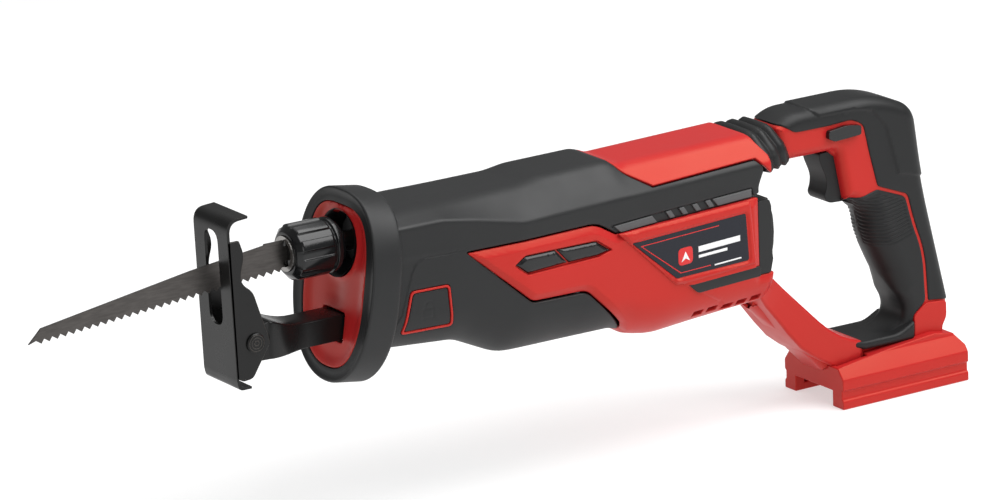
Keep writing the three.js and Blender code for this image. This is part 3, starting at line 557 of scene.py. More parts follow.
SEAM = [(71, -8.6), (57.9, -9.4), (41.5, -9.1), (35.9, -11.4), (32.4, -17.4), (24.7, -41.9), (14, -57)]
FOLD = [(187, -26), (230, -62.5), (258, -78.5), (262, -86)]
COVER_SCREWS = [(92, -71), (165, 7), (170, -71)]
PANEL_SCREWS = [(250, -75)]


def round_hole(x, z, radius=3.5):
    w = w_at(x, z)
    turn = np.linspace(0, 2 * math.pi, 25)[:-1]
    return [(x + radius * math.cos(a), None, w + radius * math.sin(a)) for a in turn]


def side_distance(flat, line):
    """Signed distance in (x, z) from a run of corners: positive above and to the right of it."""
    spots = body_point(flat)[:, [0, 2]]
    a, b = np.array(line[:-1], float), np.array(line[1:], float)
    d, q, k = to_segments(spots, a, b)
    along = (b - a)[k]
    off = spots - q
    return d * np.sign(along[:, 1] * -off[:, 0] + along[:, 0] * off[:, 1])


def cover_step(flat, d):
    """The cover stands slightly lower behind the thin seam that runs from the red panel's tip."""
    signed = -side_distance(flat, SEAM)
    x, z = body_point(flat)[:, 0], body_point(flat)[:, 2]
    inside = np.clip(signed / 0.5, 0, 1) * ((z < -8) | (x > 70))
    behind = np.clip((x - 66) / 5, 0, 1)
    return -0.45 * inside * (1 - behind) * np.clip((z + 70) / 12, 0, 1)


def edge_bevel(fall, width):
    """A bevel that falls away towards a skin's edge."""
    return lambda flat, d: -fall * np.clip((width - d) / width, 0, 1)


def panel_relief(flat, d):
    """A broad bevel round the panel, and a raised area above the fold under the label."""
    spots = body_point(flat)
    raised = np.clip(side_distance(flat, FOLD) / 2.2, 0, 1) * np.clip((spots[:, 0] - 184) / 12, 0, 1)
    raised *= np.clip((spots[:, 2] + 88) / 5, 0, 1)
    return 1.2 * raised - 2.3 * np.clip((4.6 - d) / 4.6, 0, 1)


for side, flip in SIDES:
    def put(name, corners, node, mat, holes=(), **more):
        ring = on_body(corners)
        inner = [on_body(h) for h in holes]
        ring, inner = (ring, inner) if flip == 1 else (mirrored(ring), [mirrored(h) for h in inner])
        lo, hi = ring.min(0), ring.max(0)
        grid = body_grid(lo[0], hi[0], lo[1], hi[1])
        return patch(f"{name}_{side}", ring, body_surface, grid, [f"{node}_{side}"], mat, holes=inner,
            **more)

    # Black soft cover over the front of the body and along its back shoulder.
    cover = [
        (13, None, 0.0), (189.2, None, 0.0), (189.2, None, 19.4), (209.6, 4.2, 1.5), (289, 6.9, 1.5),
        (294.6, 0.6, 3), (289.6, -10.4, 4), (290.2, -14.6, 2), (285, -14.9), (284.2, -10.1), (177.2, -14.1),
        (181.8, -18.7), (180.1, -18.9), (165.6, -9.9, 6), (69.6, -9.9, 2.5), (115.6, -50.6, 3),
        (156.8, -52.2, 5), (185.2, -81), (190.6, None, 150), (191.3, None, CENTRE), (13, None, CENTRE),
    ]
    button_hole = [(31, -27.6, 2.5), (57.6, -27.6, 2.5), (59.6, -54.8, 2.5), (24.4, -54.8, 2.5)]
    put("front_cover_skin", cover, "front_cover", RUBBER,
        holes=[button_hole] if side == "left" else [round_hole(*s) for s in COVER_SCREWS], top=0.0,
        depth=2.6, rim=1.1, open_edge=centre_line, dome=cover_step, lines=[SEAM])

    # Red side panel, with its raised frame round the label.
    panel = [
        (70.8, -11, 2), (165, -11, 6), (180, -20), (284.6, -16.6), (288.2, -16.8, 1), (288.2, -67.4),
        (299.5, -67.4), (299.5, None, CENTRE), (192.4, None, CENTRE), (191.7, None, 150), (186.3, -80),
        (157, -51, 5), (116, -49.5, 3),
    ]
    inserts = [(102.6, -24.4, 1.4), (110.8, -18.9, 1.4), (164.4, -20.2, 1.6), (176.2, -28.5, 2),
        (165.2, -31.1), (112, -31.7, 1.4)]
    screws = [] if side == "left" else [round_hole(*s) for s in PANEL_SCREWS]
    vents = [[(x, None, 134.5), (x + 7.5, None, 134.5), (x + 7.5, None, 139.5), (x, None, 139.5)]
        for x in range(240, 285, 11)]
    put("side_panel", panel, "housing", RED, holes=[inserts] + screws + vents, top=1.5, depth=3.6, rim=0.5,
        open_edge=centre_line, dome=panel_relief, bands=(4.4, 4.9), lines=[FOLD], dome_outer=True)

    frame_ring = on_body([(180.6, -19.6, 0.8), (281.4, -17.0, 2.5), (285, -59, 3), (231.6, -61.2, 2),
        (222.8, -60.2, 2)])
    label_ring = on_body([(190.5, -27.6, 1), (276.8, -24.6, 2), (278.5, -54.8, 2), (223.4, -55.8, 1)])
    if flip < 0:
        frame_ring, label_ring = mirrored(frame_ring), mirrored(label_ring)
    lo, hi = frame_ring.min(0), frame_ring.max(0)
    patch(f"label_frame_{side}", frame_ring, body_surface, body_grid(lo[0], hi[0], lo[1], hi[1], 1.8),
        [f"housing_{side}"], RED, holes=[label_ring], top=3.7, depth=3.4, rim=0.4, dome=edge_bevel(1.6, 2.1),
        bands=(2.1, 2.4))

    # Label film, printed border and a plain mark.
    put("label_film", [(190.2, -27.2, 1), (277.0, -24.2, 2), (278.8, -55.1, 2), (223.2, -56.1, 1)],
        "label_plate", LABEL, top=2.75, depth=1.0, rim=0.2)
    if side == "left":
        marks = [
            ("border_top", [(196.4, -30.1), (256, -28.0), (256, -28.5), (196.4, -30.6)], PRINT_RED),
            ("border_slope", [(196.0, -30.1), (196.9, -30.1), (226.7, -53.1), (225.8, -53.3)], PRINT_RED),
            ("border_foot", [(226, -52.8), (249, -52.2), (249, -52.7), (226, -53.3)], PRINT_RED),
            ("badge", [(224.5, -37.5, 3), (235.5, -37.1, 3), (235.5, -48.1, 3), (224.5, -48.5, 3)], PRINT_RED),
            ("bar_long", [(240, -38.6), (272, -37.5), (272, -41.2), (240, -42.3)], PRINT_WHITE),
            ("bar_short", [(240, -44.2), (262, -43.5), (262, -45.3), (240, -46.0)], PRINT_WHITE),
            ("bar_small", [(252, -52.4), (272.5, -51.7), (272.5, -52.6), (252, -53.3)], PRINT_WHITE),
        ]
        for title, corners, mat in marks:
            put(f"label_{title}", corners, "label_plate", mat, top=2.85, depth=0.2, rim=0.02)
        put("label_badge_peak", [(226.8, -46.4), (230, -39.9), (233.2, -46.2), (230, -44.4)], "label_plate",
            PRINT_WHITE, top=2.9, depth=0.2, rim=0.02)

    # Gloss inserts in the panel, vent strip above it and the dark strip under the label.
    put("insert_front", [(103.6, -23.9, 1), (110.9, -19.9, 1), (133.2, -20.4), (142, -29.9),
        (112.2, -30.8, 1)], "side_insert_front", GLOSS, top=1.7, depth=3, rim=0.3, dome=edge_bevel(1.5, 1.8),
        bands=(1.7, 2.0))
    put("insert_rear", [(134.6, -20.4), (164.2, -21.1, 1), (174.6, -28.5, 1), (165, -30.2), (143.4, -30.2)],
        "side_insert_rear", GLOSS, top=1.7, depth=3, rim=0.3, dome=edge_bevel(1.5, 1.8), bands=(1.7, 2.0))
    put("inset_floor", [(102.3, -24.4, 1.4), (110.6, -18.6, 1.4), (164.6, -19.9, 1.6), (176.6, -28.5, 2),
        (165.4, -31.4), (111.8, -32, 1.4)], "housing", RED, top=-0.4, depth=1)
    put("strip_front", [(183.4, -19.0), (211, -17.9), (207.5, -13.2), (178.6, -14.4)], "vent_strip", GREY,
        top=0.6, depth=2, rim=0.4)
    put("strip_rear", [(257.5, -16.2), (283.5, -15.3), (283.5, -10.4), (253.5, -11.4)], "vent_strip", GREY,
        top=0.6, depth=2, rim=0.4)
    for k in range(4):
        x = 219.5 + 10 * k
        z = -13.1 + 0.035 * (x - 205)
        put(f"strip_bar{k}", [(x - 1.6, z), (x + 2.2, z + 0.1), (x + 5.2, z - 4.5), (x + 1.4, z - 4.6)],
            "vent_strip", GREY, top=0.5, depth=1.6, rim=0.3)
    put("strip_bed", [(182, -20), (284.4, -16.3), (284.4, -9.8), (177, -13.6)], "vent_strip", BLACK,
        top=-0.9, depth=1, rim=0.1)
    put("lower_strip", [(232.5, -62.5), (287.6, -60.6, 0.6), (287.6, -67.0, 0.6), (239.2, -68.6, 2)],
        "lower_insert", BLACK, top=2.8, depth=2.4, rim=0.35)

# Red cover over the back of the body, from one shoulder to the other.
half_top = on_body([(189.5, None, 0.0), (189.5, None, 19.5), (210.2, 4.9, 1.2), (289.6, 7.7),
    (297.2, -0.5, 2), (299.8, -3), (299.8, 8), (292.5, None, 19), (292.5, None, 0.0)])
left_run = half_top[half_top[:, 1] > 0.01]
top_ring = np.concatenate([left_run, mirrored(left_run)])
patch("top_cover_skin", top_ring, body_surface, body_grid(184, 300, -70, 70, 2.2), ["top_cover"], RED,
    top=0.15, depth=2.4, rim=0.9)

# Rear wall of the body.
ws = np.concatenate([np.linspace(0, CENTRE, 90)[:-1], -np.linspace(CENTRE, 0, 90)[:-1]])
wall = []
for x in (280, 289.5):
    wall.append(body_surface(np.stack([np.full(len(ws), float(x)), ws], 1), np.full(len(ws), -2.8)))
loft("rear_wall", wall, ["housing_left"], BLACK)


# ------------------------------------------------------------------ nose
LEAN = math.radians(9)
NOSE_Z = -27.0


def leaned(x, y, z):
    z = z - NOSE_Z
    return np.stack([x * math.cos(LEAN) + z * math.sin(LEAN) - 1.8, y + 0 * x,
        -x * math.sin(LEAN) + z * math.cos(LEAN) + NOSE_Z], -1)


def egg(width, up, down, up_power, down_power, steps=160):
    a = np.arange(steps) / steps * 2 * math.pi
    c, s = np.cos(a), np.sin(a)
    power = np.where(s > 0, 2 / up_power, 2 / down_power)
    reach = np.where(s > 0, up, down)
    return np.stack([np.sign(c) * width * np.abs(c) ** power,
        NOSE_Z + np.sign(s) * reach * np.abs(s) ** power], 1)


def flange_ring(depth, shrink, share):
    outer = egg(45.4 - shrink, 60.8 - shrink, 58.3 - shrink, 2.6, 2.15)
    inner = egg(34.3, 51.3, 49.3, 3.4, 2.4)
    flat = inner * (1 - share) + outer * share
    return leaned(np.full(len(flat), depth), flat[:, 0], flat[:, 1])


quarter = np.linspace(0.15, math.pi / 2, 8)
profile = [(5.5, 0, 0.0), (1.9, 0, 0.0), (1.2, 0, 0.02), (0.9, 0, 0.06), (2.1, 2.5, 0.5), (1.0, 1.8, 0.9),
    (0.5, 1.3, 1.0)]
profile += [(0.5 + 1.5 * (1 - math.cos(t)), 1.3 - 1.3 * math.sin(t), 1.0) for t in quarter]
profile += [(d, 0, 1.0) for d in (6, 10, 14, 18)]
profile += [(19 + 2.4 * math.sin(t), 2.4 * (1 - math.cos(t)), 1.0) for t in quarter]
profile += [(21.4, 4, 1.0), (21.3, 9, 1.0), (19, 10, 1.0)]
loft("nose_rubber", [flange_ring(*p) for p in profile], ["nose_flange"], RUBBER, cap=False)


def plate_surface(flat, height):
    """The front plate: domed, with a groove and an arc round the clamp and a rib over the arm."""
    y, z = flat[:, 0], flat[:, 1]
    edge = to_segments(flat, PLATE_RING, np.roll(PLATE_RING, -1, 0))[0]
    radius = np.hypot(y, z)
    x = 3.2 - 1.8 * np.exp(-(edge / 5.0) ** 2) - height
    x = x + 0.9 * np.exp(-((radius - 26.5) / 1.1) ** 2) * (z > 4) * np.clip((z - 4) / 6, 0, 1)
    x = x - 1.2 * np.exp(-((radius - 20.2) / 1.6) ** 2)
    x = x + 1.4 * np.exp(-(y / 9.0) ** 2) * np.clip((-z - 16) / 10, 0, 1) * np.clip((z + 42) / 10, 0, 1)
    return leaned(x, y, z)


PLATE_RING = egg(34, 51, 49, 3.4, 2.4, 220)
turn = np.arange(90) / 90 * 2 * math.pi
circle = np.stack([20.3 * np.cos(turn), 20.3 * np.sin(turn)], 1)
arm_slot = closed_outline([(-12.4, -59.4, 1.5), (12.4, -59.4, 1.5), (12.4, -40.6, 1.5), (-12.4, -40.6, 1.5)])
gy, gz = np.meshgrid(np.arange(-34, 35, 1.5), np.arange(-77, 26, 1.5))
patch("front_plate_skin", PLATE_RING, plate_surface, np.stack([gy.ravel(), gz.ravel()], 1), ["front_plate"],
    RED, holes=[circle, arm_slot], top=0.0, depth=6, rim=0.6)

# Dark tunnel round the clamp.
angles = np.arange(96) / 96 * 2 * math.pi
tunnel = [np.stack([x + 0.16 * r * np.sin(angles), r * np.cos(angles), r * np.sin(angles)], 1)
    for x, r in ((3.0, 20.6), (4.0, 19.6), (9.0, 19.0), (24.0, 18.6))]
loft("clamp_tunnel", tunnel, ["front_plate"], BLACK, cap=False)


# ------------------------------------------------------------------ handle
HANDLE = closed_outline([
    (318, 18.5, 3), (331, 24.9, 8), (397, 25, 16), (426, 12.6, 10), (432.6, -36, 22), (452.8, -122, 4),
    (443, -140), (352, -150), (322, -119), (300, -98), (300, -70), (350, -118.5, 8), (364, -128, 4),
    (377, -133.2, 3), (410, -133.4, 9), (419, -122.5, 10), (403, -94, 12), (391, -68, 12), (389, -52, 12),
    (378, -39.5, 4), (371.5, -40), (364.8, -6, 2), (318, -6, 3), ], 1.2)
HALF_WIDTH, ROLL = 17.0, 7.5
GRIP_ROUND = 15.0


def handle_place(flat):
    d, q, _ = to_segments(flat, HANDLE, np.roll(HANDLE, -1, 0))
    inside = is_inside(flat, HANDLE)
    away = (flat - q) / np.maximum(d, 1e-6)[:, None]
    outward = np.where(inside[:, None], -away, away)
    signed = np.where(inside, d, -d)
    return signed, q, outward


def handle_surface_on(flip):
    def surface(flat, height):
        signed, q, outward = handle_place(flat)
        theta = np.clip((ROLL - signed) / ROLL, 0, math.pi / 2)
        rounded = signed < ROLL
        spot = np.where(rounded[:, None], q - outward * (ROLL - ROLL * np.sin(theta))[:, None], flat)
        side = np.where(rounded, HALF_WIDTH - ROLL + ROLL * np.cos(theta), HALF_WIDTH)
        normal2 = np.where(rounded[:, None], outward * np.sin(theta)[:, None], 0)
        cos = np.where(rounded, np.cos(theta), 1.0)
        # The front of the grip is fully round: its side falls away well before the edge.
        front = np.clip((412 - q[:, 0]) / 8, 0, 1) * np.clip((-42 - q[:, 1]) / 9, 0, 1)
        front *= np.clip((q[:, 1] + 124) / 16, 0, 1) * np.clip((-outward[:, 0] - 0.2) / 0.5, 0, 1)
        inward = np.where(rounded, ROLL - ROLL * np.sin(theta), signed)
        deep = np.clip(1 - inward / GRIP_ROUND, 0, 1)
        level = np.sqrt(np.maximum(1 - 0.99 * deep ** 2, 0))
        side = side + front * (HALF_WIDTH * level - side)
        lean = np.hypot(deep / GRIP_ROUND, level / HALF_WIDTH)
        normal2 = normal2 + front[:, None] * (outward * (deep / GRIP_ROUND / lean)[:, None] - normal2)
        cos = cos + front * (level / HALF_WIDTH / lean - cos)
        height = np.asarray(height)
        spot = spot + normal2 * height[:, None]
        return np.stack([spot[:, 0], -flip * (side + cos * height), spot[:, 1]], 1)
    return surface


def mesh_grid(xs, zs):
    return np.stack([g.ravel() for g in np.meshgrid(xs, zs)], 1)


def handle_patch(name, corners, flip, nodes, mat, top, depth=1.6, rim=0.7, dome=None, line=None, fine=None):
    """Like patch, for the handle: the skin rolls over the outline's edge and meets the other half.
    line is an outline to follow closely, and fine is a band (low z, high z, spacing) of close points."""
    ring = closed_outline(corners, 1.2)
    surface = handle_surface_on(flip)
    lo, hi = ring.min(0), ring.max(0)
    roll_end = ROLL - ROLL * math.pi / 2
    levels = ROLL - ROLL * (math.pi / 2) * np.arange(9) / 8
    rolls = np.concatenate([HANDLE + ring_normals(HANDLE) * level for level in levels])
    rolls = rolls[np.abs(handle_place(rolls)[0][:, None] - levels).min(1) < 0.15]
    points = mesh_grid(np.arange(lo[0] + 0.3, hi[0], 1.8), np.arange(lo[1] + 0.3, hi[1], 1.8))
    points = np.concatenate([points[handle_place(points)[0] > ROLL + 0.8], rolls])
    if line is not None:
        dense = closed_outline([tuple(p) for p in line], 1.0)
        points = np.concatenate([points] + [dense + ring_normals(dense) * k for k in (0, 0.7, 1.4)])
    if fine is not None:
        low, high, pitch = fine
        dense = mesh_grid(np.arange(lo[0], hi[0], pitch * 1.6), np.arange(low, high, pitch))
        dense = dense[handle_place(dense)[0] > roll_end + 0.3]
        points = np.concatenate([points[(points[:, 1] < low) | (points[:, 1] > high)], dense])
    points = points[is_inside(points, ring)]
    a, b = ring, np.roll(ring, -1, 0)
    extra = np.concatenate([ring + ring_normals(ring) * rim * f for f in RIM_STEPS])
    extra = extra[is_inside(extra, ring)]
    extra = extra[to_segments(extra, a, b)[0] > rim * 0.09]
    points = np.concatenate([points[to_segments(points, a, b)[0] > rim + 0.5], extra])
    flat, tris = triangulate(np.concatenate([ring, points]), [ring])
    signed = handle_place(flat)[0]
    tris = tris[(signed[tris] > roll_end + 0.02).any(1)]
    d = to_segments(flat, a, b)[0]
    height = rolled_height(d, rim, top)
    if dome is not None:
        height = height + dome(flat, d)
    upper = surface(flat, height)
    border = border_edges(tris)
    used = sorted({i for e in border for i in e})
    low = surface(flat[used], np.full(len(used), top - depth))
    meet = upper[used] * [1, 0, 1]
    low_at = {v: len(upper) + k for k, v in enumerate(used)}
    meet_at = {v: len(upper) + len(used) + k for k, v in enumerate(used)}
    faces = [tuple(t) for t in tris]
    for i, j in border:
        rolled = signed[i] <= roll_end + 0.3 and signed[j] <= roll_end + 0.3
        other = meet_at if rolled else low_at
        faces.append((j, i, other[i], other[j]))
    if flip > 0:
        faces = [tuple(reversed(f)) for f in faces]
    obj = mesh_piece(name, np.concatenate([upper, low, meet]), faces, nodes, mat)
    return settle_faces(obj, lambda fs: -flip * sum(f.normal.y * f.calc_area() for f in fs))


CORE = [(310, 40), (310, -20), (350, -20), (356, -52), (376, -60), (384, -100), (396, -112), (360, -122),
    (340, -100), (310, -76), (300.5, -76), (300.5, -106), (330, -135), (352, -160), (470, -160), (470, 40)]
OVER = [(306, 40), (310, 31), (319, 22, 2), (332, 12.9, 3), (357, 12.7), (376, 13.6, 3), (385.2, 9.3, 4),
    (389, -8), (395.6, -33.6, 2), (419, -42.9, 3), (423.9, -61.7, 8), (432, -84, 12), (434, -116.8, 1),
    (470, -121.5), (470, 40)]
GRIP = [(364, -45), (376, -41.2), (395, -35.6, 2), (417.2, -44.2, 3), (421.9, -62, 8), (430, -84, 12),
    (431.8, -117, 3), (421.6, -125, 4), (420.5, -139), (376, -139), (376, -124), (396, -118), (386, -96),
    (378, -66), (370, -52)]
RAISED = np.array([(341, 45), (345, 25), (351, 19.3), (378, 19), (391.6, 16.5), (401.6, 4.8), (411, -28.4),
    (430, -33.3), (470, -40), (470, 45)])


def saddle(flat, d):
    """The overmould stands a little higher along the back of the hand."""
    edge = to_segments(flat, RAISED, np.roll(RAISED, -1, 0))[0]
    return 1.1 * np.clip(edge / 1.4, 0, 1) * is_inside(flat, RAISED)


def grip_grooves(flat, d):
    """Fine curved grooves across the upper grip."""
    x, z = flat[:, 0], flat[:, 1]
    level = (z - 0.0072 * (x - 394) ** 2 + 47.5) / 2.6
    groove = 0.5 - 0.5 * np.cos(2 * math.pi * level)
    fade = np.clip((level + 10.6) / 0.3, 0, 1) * np.clip((d - 1.8) / 1.2, 0, 1)
    return -0.8 * groove ** 1.3 * fade


for side, flip in SIDES:
    handle_patch(f"handle_core_{side}", CORE, flip, [f"housing_{side}"], RED, top=-0.9, depth=2, rim=0.3)
    handle_patch(f"handle_rubber_{side}", OVER, flip, ["handle_overmould"], DARK, top=0.0, depth=1.6,
        rim=0.9, dome=saddle, line=RAISED)
    handle_patch(f"grip_rubber_{side}", GRIP, flip, ["front_grip"], DARK, top=0.0, depth=1.6, rim=0.9,
        dome=grip_grooves, fine=(-77, -38, 0.55))

# Pad under the grip and the red neck behind it.
prism("grip_pad", [(372, -136), (373, -131.6), (380, -133.2, 3), (408, -133.4, 4), (421, -127),
    (420.6, -139.5), (381, -139, 1)], (-20.4, 20.4), ["front_grip"], DARK, bevel=2.4, segments=4)
prism("rear_neck", [(421.8, -124.5, 2), (431.5, -117.8, 3), (447.4, -119.2, 2), (447.6, -130, 3),
    (443.5, -136.5, 3), (446, -145), (421.8, -145)], (-18.0, 18.0), ["housing_left"], RED, bevel=1.8,
    segments=3, step=3)

# Lower arm from the body to the foot, as wide as the body at its root.
ARM = [  # top edge, bottom edge, half width
    ((286, -66.0), (284, -78), 29.5), ((294, -66.4), (290.5, -80), 28),
    ((300, -67.6), (296, -85), 25.6), ((305, -72.6), (299.4, -90), 23.2),
    ((311, -78.6), (303.6, -95.5), 21.4), ((320, -87.6), (311, -104), 20.4),
    ((333, -100.5), (321, -117), 20.2), ((345, -112.4), (330.6, -128.2), 20.2),
    ((353, -119.6), (340.4, -135.8), 20.2), ((362, -125.6), (352, -143), 20.2),
    ((370, -129.4), (362, -149), 20.2), ((378.4, -132.4), (374, -152), 19.6),
    ((380.6, -135.6), (379, -152), 18.4),
]


def bar_section(upper, lower, half, corner=2.6, steps=4):
    """A rounded rectangle between two spots in (x, z), reaching half to each side."""
    upper, lower = np.array(upper, float), np.array(lower, float)
    length = np.linalg.norm(lower - upper)
    down = (lower - upper) / length
    ring = []
    for side, far, turn in ((-1, 0, math.pi), (1, 0, 1.5 * math.pi), (1, 1, 0), (-1, 1, 0.5 * math.pi)):
        for k in range(steps + 1):
            a = turn + k / steps * math.pi / 2
            spot = upper + down * ((length - corner if far else corner) + corner * math.sin(a))
            ring.append((spot[0], side * (half - corner) + corner * math.cos(a), spot[1]))
    return np.array(ring)


arm_sections = [bar_section(*place, corner=2.0) for place in ARM]
soften(loft("lower_arm", arm_sections, ["housing_left"], RED), 0.02, 1, 80)


# ------------------------------------------------------------------ battery foot
def foot_block():
    half = [(24, -134), (24, -141), (31.4, -150.8), (32, -152), (32, -158.2), (30.6, -159.2), (30.6, -164.2),
        (32, -165.6), (32, -171)]
    shape = half + [(-y, z) for y, z in reversed(half)]
    sections = [[(x, y, z) for y, z in shape] for x in (354, 454)]
    obj = loft("battery_foot", sections, ["housing_left", "housing_right"], RED)
    chamfers = [(346, -120), (346, -145.4), (354, -144.6), (374, -142.4), (433, -137.4), (448, -139.8),
        (454, -147.5), (470, -160), (470, -120)]
    obj = apply_cut(
        obj,
        cutter(chamfers, "y", (-50, 50)),
        cutter([(-21.6, -148), (-21.6, -130), (21.6, -130), (21.6, -148)], "x", (357, 381)),
        cutter([(-25, -166), (-25, -156), (25, -156), (25, -166)], "x", (361, 446)),
        cutter([(-20, -176), (-20, -160.5), (20, -160.5), (20, -176)], "x", (340, 446)),
    )
    return soften(obj, 0.7, 2)


foot_block()


# ------------------------------------------------------------------ bellows, trigger, lock-off, rear cap
def bellows_ring(t, swell):
    """Half of the section at the body, blended into the section at the handle, as (x, y, z)."""
    front = [(293.4, 0, 19.2), (293.4, 15, 19.1), (294.0, 20.6, 17.6), (296.4, 30.4, 8.2),
        (297.2, 33.4, 3.4), (298, 34.2, -1), (299, 31, -4), (299, 20, -5), (299, 0, -5)]
    back = [(316.5, 0, 20.4), (316.5, 10.4, 20.2), (317.6, 13.4, 18.4), (322.4, 18.4, 9.4), (324, 19.4, 5),
        (326.5, 18.6, -2.4), (327, 15.6, -5), (327, 10, -5.4), (327, 0, -5.4)]
    half = []
    for p, q in zip(front, back):
        x, y, z = [a + (b - a) * t for a, b in zip(p, q)]
        away = np.array([y, (z - 7) * 1.4])
        away = away / max(np.linalg.norm(away), 1e-6)
        half.append((x, y + swell * away[0] * (y > 1), z + swell * away[1]))
    fine = []
    for a, b in zip(half[:-1], half[1:]):
        fine += [tuple(np.array(a) + (np.array(b) - np.array(a)) * k / 4) for k in range(4)]
    fine.append(half[-1])
    return np.array(fine + [(x, -y, z) for x, y, z in fine[-2:0:-1]])


rings = []
for i in range(65):
    t = i / 64
    wave = 0.5 - 0.5 * math.cos(t * 3 * 2 * math.pi)
    rings.append(bellows_ring(t, 2.6 * wave ** 0.5 - 1.1))
soften(loft("bellows_rubber", rings, ["bellows"], DARK), 0.3, 2, 50)

prism("trigger_lever", [(355.2, -6.5, 2), (356.2, -13, 6), (361.2, -24, 9), (360.6, -31, 5), (358.4, -36, 3),
    (362, -40.2, 3), (376, -41), (380, -6)], (-9.4, 9.4), ["trigger"], DARK, bevel=2.4, segments=5, step=1.2)
prism("lock_slider", [(356.4, 9.8, 1.5), (370.8, 11.4, 4), (381.8, 9.6, 1.5), (381.8, 3.6, 1.5),
    (361, 2.4, 2), (356.4, 4.9, 1)], (-19.4, 19.4), ["lock_off_slider"], GLOSS, bevel=1.3, segments=4,
    step=1)

for side in (-1, 1):
    prism(f"cap_cheek_{'right' if side > 0 else 'left'}", [(288.4, -19.6, 1), (297, -19.6, 1.4),
        (298.4, -24), (298.6, -55), (299, -58.5), (297, -66.9, 1.2), (288.4, -66.9, 1)],
        sorted((side * 20, side * 36.6)), ["rear_end_cap"], BLACK, bevel=1.0, segments=3, step=2)
prism("cap_bulge", [(290, -23), (300, -22.6, 2), (303.6, -31, 5), (304.2, -43), (303.4, -54, 5),
    (300, -61, 2), (290, -61)], (-31.5, 31.5), ["rear_end_cap"], BLACK, bevel=1.4, segments=3, step=1.5)
prism("cap_block", [(289, -20.4), (300.6, -20.4, 1), (300.6, -66.4, 1), (289, -66.4)], (-30, 30),
    ["rear_end_cap"], BLACK, bevel=0.6)

# Lock button and its thin red surround.
surround = on_body([(30.9, -27.7, 3), (57.7, -27.7, 3), (59.7, -54.7, 3), (24.3, -54.7, 3)], 1.0)
button = on_body([(32.3, -29.1, 2), (56.4, -29.1, 2), (58.1, -53.3, 2), (26.1, -53.3, 2)], 1.0)
patch("button_surround", surround, body_surface, body_grid(24, 60, 50, 140, 1.2), ["shoe_lock_surround"],
    RED, holes=[button], top=0.45, depth=2, rim=0.5)
inner_button = on_body([(32.7, -29.5, 1.8), (56.0, -29.5, 1.8), (57.6, -52.9, 1.8), (26.6, -52.9, 1.8)], 1.0)


def padlock(flat, d):
    x, w = flat[:, 0], flat[:, 1]
    z = body_point(flat)[:, 2]
    frame_d = np.abs(np.maximum(np.abs(x - 42.2) - 3.4, np.abs(z + 43.4) - 3.0))
    body_line = np.exp(-(frame_d / 0.42) ** 2)
    loop_d = np.abs(np.hypot(x - 42.8, np.maximum(0, z + 38.4)) - 2.4)
    loop = np.exp(-(loop_d / 0.42) ** 2) * (z > -40.2)
    return -0.3 * np.maximum(body_line, loop)


patch("lock_button_face", inner_button, body_surface, body_grid(26, 58, 50, 140, 0.8), ["shoe_lock_button"],
    RUBBER, top=0.1, depth=2, rim=0.6, dome=padlock)

# ------------------------------------------------------------------ clamp, shoe and shoe arm
def sleeve_ring(x, radius, rib):
    angle = np.arange(288) / 288 * 2 * math.pi
    ridge = np.clip((np.cos(9 * angle + 0.6) + 0.3) * 3.2, 0, 1)
    r = radius + rib * 1.3 * (ridge - 0.5)
    return np.stack([x + 0 * angle, r * np.cos(angle), r * np.sin(angle)], 1)


SLEEVE = [(-31, 10.2, 0), (-32.2, 10.4, 0), (-33, 11.2, 0), (-33, 13.0, 0), (-32.4, 13.8, 0),
    (-30.2, 16.2, 0.1), (-29.6, 16.7, 0.5), (-28.6, 16.8, 1), (-20, 16.8, 1), (-8.4, 16.8, 1),
    (-7.4, 16.7, 0.5), (-6.8, 16.2, 0.1), (-6.4, 15.9, 0), (-5.4, 15.9, 0), (-5.2, 16.6, 0), (-4.8, 17.1, 0),
    (-2.4, 17.2, 0), (-1.8, 16.8, 0), (-1.4, 14.4, 0), (1.2, 14.2, 0), (1.2, 10.2, 0), (-31, 10.2, 0)]
soften(loft("clamp_collar", [sleeve_ring(*p) for p in SLEEVE], ["clamp_sleeve"], GLOSS, cap=False), 0.15, 2,
    40)

BEND = [(-81.8, -66), (-84, 33.6, 8.6), (-69, 34.6), (-69, 33), (-82.0, 32.0, 7.4), (-80.2, -66),
    (-78.8, -70.4, 2), (-71.8, -70.8), (-71.8, -72.2), (-80.6, -72.2, 3)]
FLANGE = [(-81.6, -64.5), (-83.6, 20.3), (-75.6, 20.3, 1), (-72.3, 10.5, 5), (-76.0, -1.8, 9),
    (-74.4, -7.5, 5), (-67.8, -12.5, 4), (-63, -28, 3), (-57.4, -46, 3), (-70.4, -66.4, 2.5), (-77, -67, 1)]
SLOT = [(-7.8, -34.5, 7.6), (7.8, -34.5, 7.6), (7.8, 25, 7.7), (-7.8, 25, 7.7)]


# Gives the bevelled edges the lighter metal: rubbed wear, and a painted highlight along them.
def wear_and_highlight_edges(obj):
    obj.data.materials.append(EDGE_WEAR_AND_HIGHLIGHT)
    obj.modifiers["edges"].material = 1
    return obj


